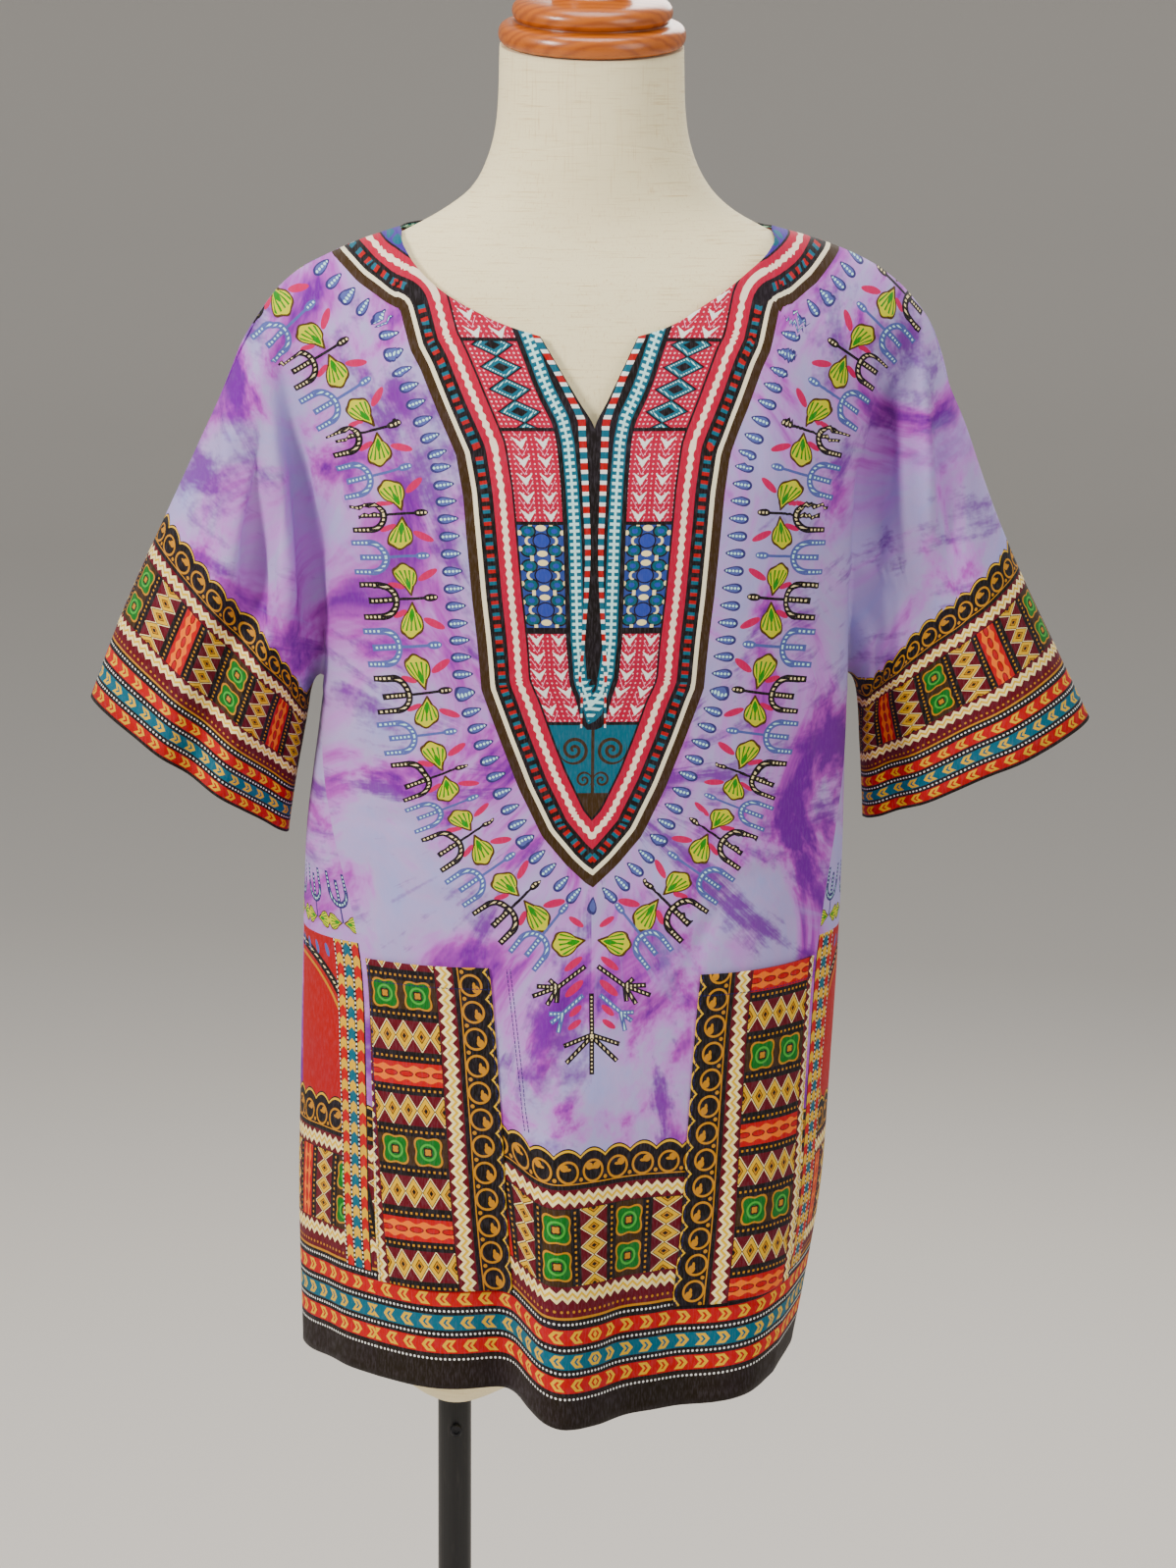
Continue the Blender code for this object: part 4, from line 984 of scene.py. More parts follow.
def rounded_profile(points, turns):
    """Profile with its corners cut back evenly, so that a turned piece has soft edges."""
    line = [np.array(point, dtype=float) for point in points]
    for _ in range(turns):
        cut = [line[0]]
        for a, b in zip(line[:-1], line[1:]):
            cut += [mix(a, b, 0.25), mix(a, b, 0.75)]
        cut.append(line[-1])
        line = cut
    return [(max(float(r), 0.0), float(h)) for r, h in line]


# How much livelier and deeper an ink is mixed than it is seen, because soft light pales it
VIVID = 1.32
DEPTH = 1.16


def ink(red, green, blue):
    """Linear colour of an ink given as it is seen, from 0 to 255."""
    made = []
    for value in (red, green, blue):
        share = value / 255.0
        made.append(share / 12.92 if share <= 0.04045 else ((share + 0.055) / 1.055) ** 2.4)
    grey = 0.2126 * made[0] + 0.7152 * made[1] + 0.0722 * made[2]
    deep = [max(grey + (value - grey) * VIVID, 0.0015) ** DEPTH for value in made]
    return (*[min(value, 0.95) for value in deep], 1.0)


def feed(tree, value, slot):
    """Give a node's input a number, a colour or another node's output."""
    source = value.socket if isinstance(value, Value) else value
    if hasattr(source, "is_linked"):
        tree.links.new(source, slot)
    else:
        slot.default_value = source


class Value:
    """A number in a material's node tree, reckoned with like a plain number. A mask is 1 or 0."""

    def __init__(self, tree, socket):
        self.tree = tree
        self.socket = socket

    def math(self, operation, *others):
        node = self.tree.nodes.new("ShaderNodeMath")
        node.operation = operation
        for slot, value in zip(node.inputs, (self, *others)):
            feed(self.tree, value, slot)
        return Value(self.tree, node.outputs[0])

    def __invert__(self):
        return self.math("MULTIPLY_ADD", -1.0, 1.0)

    def wrap(self, pitch):
        return self.math("WRAP", pitch, 0.0)

    def centred(self, pitch, shift=0.0):
        """Distance from the nearest of a row of places, at shift and every pitch from it."""
        return (self + (0.5 * pitch - shift)).wrap(pitch) - 0.5 * pitch


def reckoner(operation):
    """Method that works out one operation with a number."""
    return lambda value, *others: value.math(operation, *others)


for name, operation in (
    ("__add__", "ADD"), ("__sub__", "SUBTRACT"), ("__mul__", "MULTIPLY"), ("__truediv__", "DIVIDE"),
    ("__abs__", "ABSOLUTE"), ("__and__", "MULTIPLY"), ("__or__", "MAXIMUM"), ("fold", "PINGPONG"),
    ("below", "LESS_THAN"), ("above", "GREATER_THAN"), ("near", "COMPARE"),
):
    setattr(Value, name, reckoner(operation))


def far(a, b):
    """Length of the line with the sides a and b."""
    return (a * a + b * b).math("SQRT")


def oval(a, b, half_a, half_b):
    """1 inside an oval."""
    a = a * (1.0 / half_a)
    b = b * (1.0 / half_b)
    return (a * a + b * b).below(1.0)


def stroke(x, z, ax, az, bx, bz, half):
    """1 close to the straight line from a to b."""
    length = math.hypot(bx - ax, bz - az)
    ux = (bx - ax) / length
    uz = (bz - az) / length
    along = x * ux + (z * uz - (ax * ux + az * uz))
    across = x * uz - (z * ux + (ax * uz - az * ux))
    return along.near(0.5 * length, 0.5 * length + half * 0.5) & across.near(0.0, half)


class Paint:
    """Colour built up layer on layer, each laid over the last where its mask is 1."""

    def __init__(self, tree, first):
        self.tree = tree
        self.colour = first

    def over(self, mask, colour):
        node = self.tree.nodes.new("ShaderNodeMix")
        node.data_type = "RGBA"
        for slot, value in ((0, mask), (6, self.colour), (7, colour)):
            feed(self.tree, value, node.inputs[slot])
        self.colour = node.outputs[2]

    def shrinking(self, where, shape, *rows):
        """Inks over one another, each where the shape's number lies below its own limit."""
        self.layers(where, *[(shape.below(limit), colour) for limit, colour in rows])

    def layers(self, where, *rows):
        """Several inks over one another, each where its own mask is 1 inside a shared one."""
        for mask, colour in rows:
            self.over(where & mask, colour)


def split(tree, source, scale=None):
    """The three numbers of a vector."""
    node = tree.nodes.new("ShaderNodeSeparateXYZ")
    tree.links.new(source, node.inputs[0])
    values = [Value(tree, node.outputs[i]) for i in range(3)]
    return [value * scale for value in values] if scale else values


def place(tree, name):
    """The three numbers of a print place stored on the mesh."""
    read = tree.nodes.new("ShaderNodeAttribute")
    read.attribute_name = name
    return split(tree, read.outputs["Vector"])


def vector(tree, *numbers):
    join = tree.nodes.new("ShaderNodeCombineXYZ")
    for value, slot in zip(numbers, join.inputs):
        feed(tree, value, slot)
    return join.outputs[0]


def noise(tree, where, detail=2.0, rough=0.5, distortion=0.0):
    node = tree.nodes.new("ShaderNodeTexNoise")
    tree.links.new(where, node.inputs["Vector"])
    for name, value in zip(
        ("Scale", "Detail", "Roughness", "Distortion"), (1.0, detail, rough, distortion)
    ):
        node.inputs[name].default_value = value
    return Value(tree, node.outputs[0])


def bands(tree, value, stops, top, mode="CONSTANT"):
    """Colour by a number: each stop's colour begins at its number. Numbers run from 0 to top."""
    ramp = tree.nodes.new("ShaderNodeValToRGB")
    ramp.color_ramp.interpolation = mode
    feed(tree, value * (1.0 / top), ramp.inputs[0])
    elements = ramp.color_ramp.elements
    for i, (start, colour) in enumerate(stops):
        element = elements[i] if i < 2 else elements.new(start / top)
        element.position, element.color = start / top, colour
    return ramp.outputs[0]


# Inks of the print, as they are seen
PERIWINKLE = ink(182, 168, 206)
SKY = ink(170, 169, 209)
LILAC = ink(170, 94, 178)
VIOLET = ink(112, 24, 142)
DARK_BROWN = ink(38, 30, 20)
OLIVE = ink(66, 50, 28)
NEAR_BLACK = ink(27, 22, 19)
GOLD = ink(188, 142, 0)
YELLOW = ink(218, 182, 0)
CREAM = ink(246, 232, 190)
WHITE_INK = ink(240, 240, 236)
MAROON = ink(96, 14, 34)
CRIMSON = ink(162, 0, 34)
PINK = ink(170, 0, 70)
ORANGE = ink(222, 130, 0)
RED = ink(172, 14, 6)
TEAL = ink(24, 104, 120)
DEEP_TEAL = ink(36, 96, 108)
AQUA = ink(206, 240, 238)
GREEN = ink(32, 112, 56)
SEA_GREEN = ink(104, 168, 96)
LEAF = ink(206, 204, 0)
LEAF_VEIN = ink(70, 140, 16)
LEAF_RIM = ink(84, 66, 18)
SLATE = ink(98, 106, 158)
DARK_SLATE = ink(62, 60, 108)
PETAL = ink(184, 0, 96)
ORCHID = ink(188, 144, 204)
PALE_YELLOW = ink(222, 190, 40)
PALE = ink(244, 236, 214)
WAVE = ink(248, 230, 214)
BLUSH = ink(246, 190, 200)
ROSE = ink(244, 170, 190)
PALE_ROSE = ink(246, 200, 208)
DUSK_BLUE = ink(62, 80, 138)
BLOOM_BLUE = ink(60, 84, 160)
FLOWER_BLUE = ink(64, 80, 152)
SHOULDER_BLUE = ink(78, 60, 138)
SEAM_THREAD = ink(40, 38, 92)
POCKET_THREAD = ink(30, 34, 84)
LINT = ink(214, 206, 220)
SHADE = ink(80, 62, 92)

# Pitches along the border, in millimetres: its blocks, its arrows and its scallops
BLOCK_PITCH = 102.0
ARROW_PITCH = 13.8
SCALLOP = 17.6

# Distance between the threads of the weave, in millimetres
THREAD_PITCH = 0.62

# Middles of the dotted strips between the border's blocks
DOTTED_STRIPS = (14.0, 39.6, 67.8, 88.8)


def any_of(masks):
    whole = masks[0]
    for mask in masks[1:]:
        whole = whole | mask
    return whole


def tie_dye(tree):
    """Periwinkle ground with lilac clouds and violet streaks that run out from the middle."""
    x, z, face = place(tree, "flat_place")
    out, high = x + 9.5, z - 1010.0
    cloud = noise(tree, vector(tree, out * 0.011, high * 0.007, face), 5.0, 0.62, 1.4)
    stops = ((0.32, SKY), (0.44, PERIWINKLE), (0.51, ORCHID), (0.565, LILAC), (0.635, VIOLET))
    paint = Paint(tree, bands(tree, cloud, stops, 1.0, "LINEAR"))
    turn = out.math("ARCTAN2", high)
    spread = vector(tree, turn * 3.6, far(out, high) * 0.0045, face)
    streak = noise(tree, spread, 6.0, 0.66, 0.8)
    edge = noise(tree, vector(tree, out * 0.035, high * 0.035, face), 4.0, 0.7)
    strong = ((streak - 0.535) * 9.0 + (edge - 0.5) * 4.2).math("SMOOTH_MIN", 1.0, 0.3)
    paint.over(strong.math("MAXIMUM", 0.0) * 0.88, VIOLET)
    pale = (streak * -9.0 + 4.0).math("MAXIMUM", 0.0)
    paint.over(pale.math("MINIMUM", 1.0) * 0.5, SKY)
    return paint, x, z, face


def arrows(paint, u, h, middle, base):
    """Row of swept arrows on its own coloured band, pointing away from the middle."""
    paint.over(h.near(middle, 5.0), base)
    lean = abs(h - middle) * 0.85
    paint.over((u + lean).wrap(ARROW_PITCH).below(6.2) & h.near(middle, 4.0), YELLOW)
    paint.over((u + lean - 1.9).wrap(ARROW_PITCH).below(1.7) & h.near(middle, 2.4), base)


def dots(paint, u, h, middle, colour, radius=0.8, pitch=3.0):
    paint.over(oval(u.centred(pitch), h - middle, radius, radius), colour)


def zigzag(paint, u, h, middle, colour, half):
    line = u.fold(3.5) * (3.4 / 3.5) - 1.7
    paint.over((h - middle - line).near(0.0, half), colour)


def panel_row(paint, u, v, middle, tall):
    """Blocks of diamonds, rosettes and ovals, parted by dotted strips. v runs across the row."""
    w = u.wrap(BLOCK_PITCH)
    mid = v - middle
    inside = v.near(middle, 0.5 * tall)
    paint.over(inside, DARK_BROWN)
    # Diamonds
    for centre in (0.0, 53.7):
        away = abs((u - centre).centred(BLOCK_PITCH))
        here = inside & away.below(10.1)
        shape = away * (1.0 / 9.2) + abs(mid.centred(12.0)) * (1.0 / 6.0)
        paint.over(here, MAROON)
        paint.shrinking(
            here, shape, (1.14, CREAM), (1.02, OLIVE), (0.92, YELLOW), (0.50, OLIVE), (0.40, GOLD),
            (0.22, NEAR_BLACK),
        )
    # Dotted strips
    paint.over(any_of([w.near(level, 3.3) for level in DOTTED_STRIPS]) & inside, NEAR_BLACK)
    off = any_of([w.near(level, 0.75) for level in DOTTED_STRIPS])
    paint.over(off & inside & mid.wrap(3.6).below(1.5), GOLD)
    # Rosettes
    side, step = w - 26.8, mid.centred(23.5, 11.75)
    here = inside & side.near(0.0, 9.5)
    paint.over(here, OLIVE)
    reach = far(side, step)
    shape = reach / ((step.math("ARCTAN2", side) * 4.0).math("COSINE") * -1.4 + 9.0)
    paint.shrinking(here, shape, (1.14, GOLD), (1.0, GREEN))
    paint.over(here & (reach - 5.0).near(0.0, 0.7), SEA_GREEN)
    paint.shrinking(here, shape, (0.36, DARK_BROWN), (0.24, GOLD))
    # Ovals
    side, step = w - 78.4, mid.centred(11.0)
    here = inside & side.near(0.0, 7.4)
    paint.over(here, RED)
    swell = (mid * (2.0 * math.pi / 11.0)).math("COSINE") * -0.9 + 4.6
    paint.layers(
        here,
        ((abs(side) - swell).below(0.0), ORANGE),
        (oval(side, step, 2.1, 4.9), MAROON),
        (oval(side, step, 1.5, 4.2), RED),
    )


def border_strip(paint, u, h):
    """The whole border by the height above its plain edge, up to its scalloped head."""
    lobe = u.centred(SCALLOP) * (2.0 / SCALLOP)
    head = (h * -1.0 + 180.4) - lobe * lobe * 4.6
    stops = (
        (0.0, DARK_BROWN), (22.4, NEAR_BLACK), (71.0, GOLD), (72.5, MAROON), (80.2, DARK_BROWN),
        (92.4, DARK_BROWN), (141.6, DARK_BROWN), (154.2, NEAR_BLACK), (156.6, GOLD),
        (157.8, NEAR_BLACK),
    )
    paint.over(head.above(0.0), bands(u.tree, h, stops, 200.0))
    dots(paint, u, h, 19.9, WHITE_INK)
    for middle, base, row in ((28.7, RED, 36.4), (44.0, TEAL, 51.7), (59.7, RED, 68.2)):
        arrows(paint, u, h, middle, base)
        dots(paint, u, h, row, WHITE_INK)
    dots(paint, u, h, 76.2, GOLD, 0.9, 4.2)
    for middle in (86.3, 148.0):
        paint.over(h.near(middle, 6.1), MAROON)
        zigzag(paint, u, h, middle, CREAM, 3.5)
        zigzag(paint, u, h, middle, PALE_YELLOW, 1.0)
    panel_row(paint, u, h, 117.0, 48.9)
    ring = u.centred(SCALLOP)
    paint.over(far(ring, h - 165.0).near(6.7, 0.75), GOLD)
    paint.over(oval(ring - 2.6, h - 168.0, 2.5, 2.3), GOLD)
    paint.over(oval(ring - 0.2, h - 167.0, 2.2, 1.0), GOLD)
    paint.over(head.near(1.7, 0.75), YELLOW)
    paint.over(oval(u.centred(SCALLOP, 0.5 * SCALLOP), h - 160.0, 1.3, 1.3), GOLD)


def teardrops(paint, p, s):
    """Beaded drops round the outside of the yoke, their tips towards it."""
    out = p * -1.0 - 10.6
    across = s.centred(DROP_PITCH, 0.5 * DROP_PITCH)
    swell = out * 0.055 + 0.86
    shape = far(across / swell * (1.0 / 3.5), out * (1.0 / 6.6))
    paint.over(shape.below(1.0), DARK_SLATE)
    paint.over(shape.below(0.74), SLATE)
    paint.over(oval(across, (out + 0.4).centred(2.3), 0.8, 0.8) & shape.below(0.80), AQUA)


def leaf(paint, along, across, mask, size=1.0):
    """Fan of a leaf that opens away from its stalk, with a lobed head, a rim and veins."""
    along = along * (1.0 / size)
    across = across * (1.0 / size)
    turn = across.math("ARCTAN2", along)
    wide = abs(across)
    lobed = (turn * 15.0).math("COSINE") * 0.45 + 7.7
    head = lobed - far(along - 12.6, across)
    stalk = along * 0.56 + 0.3
    for colour, rim in ((LEAF_RIM, -0.2), (LEAF, 1.15)):
        tail = (stalk - wide - rim * 1.1).above(0.0) & along.near(6.2 + 0.5 * rim, 6.2)
        paint.over(mask & (head.above(rim) | tail), colour)
    veins = abs(turn.centred(0.2)).below(0.04) & along.near(10.6, 5.4)
    veins = veins | oval(across, along - 7.6, 1.3, 4.0)
    paint.over(mask & veins & (head.above(1.6) | tail), LEAF_VEIN)


def fork(a, g):
    """Three prongs on a stalk, open away from the yoke, with a drop at the stalk's other end."""
    wide = abs(a)
    arms = far(a, g - 19.0)
    swell = g * -0.03 + 2.6
    mask = arms.near(9.4, 2.1) & g.below(19.0)
    mask = mask | (abs(wide - 9.4) - swell).below(0.0) & g.near(24.5, 5.6)
    mask = mask | wide.below(1.9) & g.near(18.0, 7.6)
    return mask | wide.below(0.85) & g.near(-1.0, 11.0) | oval(a, g + 13.2, 2.3, 4.6)


def fork_beads(a, g):
    wide = abs(a)
    arms = far(a, g - 19.0)
    beads = arms.near(9.4, 0.65) & g.below(19.0) & wide.wrap(2.5).below(1.2)
    beads = beads | wide.near(9.4, 0.65) & g.near(24.3, 4.9) & g.wrap(2.5).below(1.2)
    beads = beads | wide.below(0.65) & g.near(18.0, 6.6) & g.wrap(2.5).below(1.2)
    return beads | wide.below(0.66) & g.near(-13.4, 3.4) & g.wrap(2.4).below(1.2)


def sprigs(paint, t, g):
    """Sprigs with forks, leaves and petals, and blue forks between them."""
    live = t.above(30.0) & t.below(560.0)
    between = t.centred(SPRIG_PITCH, 0.5 * SPRIG_PITCH)
    higher = live & t.above(56.0)
    paint.over(fork(between, g - 2.0) & higher, SLATE)
    paint.over(fork_beads(between, g - 2.0) & higher, AQUA)
    a = t.centred(SPRIG_PITCH)
    wide = abs(a)
    petal = oval(wide - 9.0 + g * 0.45, g + 13.0, 2.5, 6.2)
    petal = petal | oval(wide - 6.0 - g * 0.30, g - 8.0, 1.8, 4.8)
    paint.over(petal & live, PETAL)
    paint.over(fork(a, g) & live, NEAR_BLACK)
    leaf(paint, wide - 1.8, g + 1.6 - wide * 0.2, live, 1.02)
    paint.over(fork_beads(a, g) & live, CREAM)


def tilted(x, z, middle_x, middle_z, angle, half_long, half_wide):
    """1 inside an oval whose long side lies at an angle from level."""
    turn = math.radians(angle)
    dx = x - middle_x
    dz = z - middle_z
    along = dx * math.cos(turn) + dz * math.sin(turn)
    across = dz * math.cos(turn) - dx * math.sin(turn)
    return oval(along, across, half_long, half_wide)


def bottom_tree(paint, out, z, live):
    """The two leaves, petals and branching stalks under the yoke's tip."""
    petals = (
        (9.8, 919.2, 35.0, 5.6, 2.0), (11.7, 892.1, -38.0, 7.0, 2.3),
        (11.2, 876.2, -42.0, 7.6, 2.5), (10.4, 861.9, -42.0, 5.0, 2.0),
        (11.0, 853.1, -35.0, 5.0, 2.0),
    )
    paint.over(live & any_of([tilted(out, z, *petal) for petal in petals]), PETAL)
    a = (out - 32.0) * 0.79 + (z - 909.7) * 0.61
    g = (out - 32.0) * 0.61 - (z - 909.7) * 0.79 + 9.6
    paint.over(live & fork(a, g), SLATE)
    paint.over(live & fork_beads(a, g), AQUA)
    slate = (
        (6.0, 871.4, 18.7, 860.4), (18.7, 860.4, 26.4, 860.4), (18.7, 860.4, 25.4, 855.0),
        (18.7, 860.4, 21.5, 849.0),
    )
    paint.over(live & any_of([stroke(out, z, *line, 1.5) for line in slate]), SLATE)
    beads = any_of([stroke(out, z, *line, 0.5) for line in slate])
    paint.over(live & beads & out.wrap(2.3).below(1.2), AQUA)
    dark = (
        (4.6, 890.0, 21.5, 877.3), (21.5, 877.3, 26.4, 881.5), (21.5, 877.3, 34.2, 877.6),
        (21.5, 877.3, 37.0, 871.5), (21.5, 877.3, 28.0, 866.5), (21.5, 877.3, 22.4, 868.2),
        (0.0, 846.5, 17.3, 840.0), (0.0, 845.5, 15.9, 829.5),
    )
    stem = out.below(1.6) & z.near(847.0, 26.0)
    lines = any_of([stroke(out, z, *line, 1.6) for line in dark])
    paint.over(live & (lines | stem), NEAR_BLACK)
    beads = any_of([stroke(out, z, *line, 0.5) for line in dark]) & out.wrap(2.5).below(1.1)
    beads = beads | (out.below(0.5) & z.near(847.0, 25.0) & z.wrap(2.5).below(1.1))
    paint.over(live & beads, CREAM)
    along = (out - 3.9) * 0.98 - (z - 907.3) * 0.17
    across = (z - 907.3) * 0.98 + (out - 3.9) * 0.17
    leaf(paint, along, across, live, 1.06)


def new_material(name):
    made = bpy.data.materials.new(name)
    made.use_nodes = True
    return made


def finish_material(made, paint, rough, height, strength, distance, **constants):
    """Join colour, roughness and bump to the surface. The rest are constants on its sockets."""
    tree = made.node_tree
    surface = tree.nodes["Principled BSDF"]
    feed(tree, paint.colour, surface.inputs["Base Color"])
    feed(tree, rough, surface.inputs["Roughness"])
    for name, value in constants.items():
        surface.inputs[name.replace("_", " ")].default_value = value
    bump = tree.nodes.new("ShaderNodeBump")
    bump.inputs["Strength"].default_value = strength
    bump.inputs["Distance"].default_value = distance
    feed(tree, height, bump.inputs["Height"])
    feed(tree, bump.outputs[0], surface.inputs["Normal"])
    return made


def beyond(value, limit, strength):
    """How far a number lies above a limit, times a strength."""
    return (value - limit).math("MAXIMUM", 0.0) * strength


def object_places(tree):
    """Places on an object, in millimetres."""
    return split(tree, tree.nodes.new("ShaderNodeTexCoord").outputs["Object"], 1000.0)


def cotton(name, painter, sheen):
    """Printed cotton: the painter lays the print, and weave, slubs and soft creases follow."""
    made = new_material(name)
    tree = made.node_tree
    paint = painter(tree)
    x, z, face = place(tree, "flat_place")
    worn = noise(tree, vector(tree, x * 0.9, z * 0.16, face), 3.0, 0.6)
    fade = noise(tree, vector(tree, x * 0.02, z * 0.02, face), 3.0, 0.6)
    paint.over(beyond(worn, 0.45, 0.16), LINT)
    paint.over(beyond(fade, 0.45, 0.30), SHADE)
    soft = noise(tree, vector(tree, x * 0.045, z * 0.028, face), 4.0, 0.55, 0.6)
    k = 2.0 * math.pi / THREAD_PITCH
    height = soft * 1.5 + (x * k).math("SINE") * (z * k).math("SINE") * 0.022
    return finish_material(
        made, paint, worn * 0.16 + 0.76, height, 0.55, 0.001,
        Specular_IOR_Level=0.15, Sheen_Weight=sheen, Sheen_Roughness=0.5,
    )


def paint_field(tree):
    paint, x, z, face = tie_dye(tree)
    p, s, _ = place(tree, "yoke_place")
    teardrops(paint, p, s)
    t, g, _ = place(tree, "ring_place")
    sprigs(paint, t, g)
    _, _, off = place(tree, "ladder_place")
    bottom_tree(paint, abs(off), z, face.below(1.0))
    seam = stroke(x, z, -63.5, 888.0, -51.5, 781.0, 0.28)
    seam = seam | stroke(x, z, -61.2, 888.0, -49.2, 781.0, 0.28)
    paint.over(seam & face.below(1.0) & z.wrap(2.8).below(2.2), SEAM_THREAD)
    yoke_edge(paint, p, s)
    return paint


def yoke_edge(paint, p, s):
    """Outer bands of the yoke, by the distance in from its outer edge."""
    stops = (
        (0.0, OLIVE), (5.8, PALE), (8.6, NEAR_BLACK), (18.4, PINK), (30.6, NEAR_BLACK),
        (32.0, NEAR_BLACK),
    )
    paint.over(p.above(0.0), bands(p.tree, p, stops, 60.0))
    square = p.near(13.6, 2.3) & s.centred(7.5).near(0.0, 2.3)
    paint.over(square, CRIMSON)
    paint.over(square & s.wrap(15.0).below(7.5), TEAL)
    swell = (s * (2.0 * math.pi / 5.4)).math("COSINE") * 0.5 + 1.8
    paint.over((abs(p - 24.4) - swell).below(0.0), WAVE)


def chevrons(paint, here, across, z):
    paint.over(here, PINK)
    paint.over(here & oval(across.centred(3.0), z.centred(3.0), 0.55, 0.55), BLUSH)
    side = abs(across).near(7.0, 4.6)
    u = abs(abs(across) - 7.0)
    v = (z - u * 1.6).wrap(11.2)
    paint.over(here & side & (v + u * 0.9).below(4.8), WHITE_INK)
    paint.over(here & side & (v - 7.2).near(0.0, 0.35), ROSE)


def diamonds(paint, here, across, z):
    paint.over(here, TEAL)
    shape = abs(across) * (1.0 / 11.5) + abs(z.centred(13.6, 6.4)) * (1.0 / 6.8)
    speck = oval(across.centred(2.7), z.centred(2.7), 0.6, 0.6)
    paint.layers(here, (shape.above(1.0), PINK))
    paint.over(here & shape.above(1.2) & speck, PALE_ROSE)
    paint.over(here & shape.near(1.04, 0.07), NEAR_BLACK)
    paint.over(here & shape.near(0.78, 0.08) & (across + z).wrap(2.0).below(1.1), AQUA)
    paint.over(here & shape.below(0.42), NEAR_BLACK)


def flowers(paint, here, across, z):
    paint.over(here, DUSK_BLUE)
    u, v = abs(across), abs(z.centred(21.8, 9.0))
    paint.layers(
        here,
        (oval(u - 8.4, v - 6.0, 5.2, 4.4), NEAR_BLACK),
        (oval(u - 8.4, v - 6.0, 4.2, 3.4), DEEP_TEAL),
        (oval(u - 8.4, v - 6.0, 2.0, 1.5), BLOOM_BLUE),
        (oval(u, v, 5.8, 5.0), NEAR_BLACK),
        (oval(u, v, 4.9, 4.2), FLOWER_BLUE),
        (oval(u - 8.2, v, 2.3, 2.7) & ~oval(u - 6.9, v, 2.0, 2.1), CREAM),
        (oval(u, v - 8.0, 3.3, 1.9), CREAM),
    )
    paint.over(here & u.near(6.6, 1.1) & v.near(10.9, 1.7), CREAM)
    paint.over(here & oval(u - 13.6, v - 5.0, 1.4, 1.6), CREAM)


def paint_yoke(tree):
    p, s, z = place(tree, "yoke_place")
    paint = Paint(tree, NEAR_BLACK)
    yoke_edge(paint, p, s)
    ql, sl, off = place(tree, "ladder_place")
    _, _, lead = place(tree, "ring_place")
    out = abs(off)
    across = (ql - p + 24.8) * 0.5
    column = p.above(32.0) & ql.above(7.4)
    chevrons(paint, column & z.above(1288.0), across, z)
    diamonds(paint, column & z.near(1260.5, 26.6), across, z)
    chevrons(paint, column & z.near(1204.0, 28.0), across, z)
    flowers(paint, column & z.near(1142.0, 32.4), across, z)
    chevrons(paint, column & z.near(1077.0, 28.6), across, z)
    for level in (1288.0, 1233.2, 1175.4, 1108.2, 1048.0):
        paint.over(column & z.near(level, 1.1), NEAR_BLACK)
    # Foot of the yoke with its two pairs of spirals
    foot = p.above(32.0) & z.below(1047.0) & z.above(900.0)
    paint.over(foot, TEAL)
    for side, level, radius, pitch in ((12.2, 1031.0, 9.6, 4.6), (5.6, 1011.5, 5.4, 3.2)):
        dx, dz = out - side, z - level
        reach = far(dx, dz)
        turn = dz.math("ARCTAN2", dx) * (pitch / (2.0 * math.pi))
        curl = (reach - turn).wrap(pitch).below(0.46 * pitch) & reach.below(radius)
        paint.over(foot & curl, OLIVE)
    paint.layers(foot, (out.below(1.0), OLIVE), (z.below(1003.0), OLIVE))
    # Shoulder patch
    patch = column & out.above(104.0) & z.above(1300.0) & lead.above(-1.0)
    paint.over(patch, SHOULDER_BLUE)
    paint.over(patch & far(p.centred(9.0), s.centred(11.0)).below(3.2), TEAL)
    # Ladder beside the slit
    above_foot = z.above(1044.0)
    paint.over(ql.near(-1.0, 8.4) & above_foot, NEAR_BLACK)
    rail = ql.near(0.0, 4.2) & above_foot
    paint.over(rail, TEAL)
    rungs = rail & (ql.near(0.0, 0.75) | (sl.centred(4.2).near(0.0, 0.95) & ql.near(0.0, 3.1)))
    paint.over(rungs, AQUA)
    paint.over(ql.below(-6.0) & above_foot & out.below(34.0), NEAR_BLACK)
    half = ((z - 1050.0) * 0.0085 + 0.6).math("MINIMUM", 2.2)
    inner = (abs(out - lead) - half).below(0.0) & above_foot
    stops = ((0.0, WHITE_INK), (2.4, CRIMSON), (6.7, WHITE_INK), (9.1, TEAL))
    paint.over(inner & p.above(32.0), bands(tree, z.wrap(13.4), stops, 13.4))
    return paint


def side_block(paint, d, z):
    """Crimson block beside the side seam with a beaded arch, by the distance from the seam."""
    block = d.near(52.0, 30.0) & z.near(833.0, 65.0)
    paint.over(block, CRIMSON)
    reach = far(d - 74.0, z - 822.0)
    paint.over(block & reach.near(66.0, 3.4), NEAR_BLACK)
    paint.over(block & reach.near(66.0, 0.7) & z.wrap(2.8).below(1.4), CREAM)
    paint.over(block & reach.near(58.5, 1.1), GOLD)
    paint.over(block & oval((d - z * 0.3).centred(13.0), z - 889.0, 2.2, 4.2), SLATE)


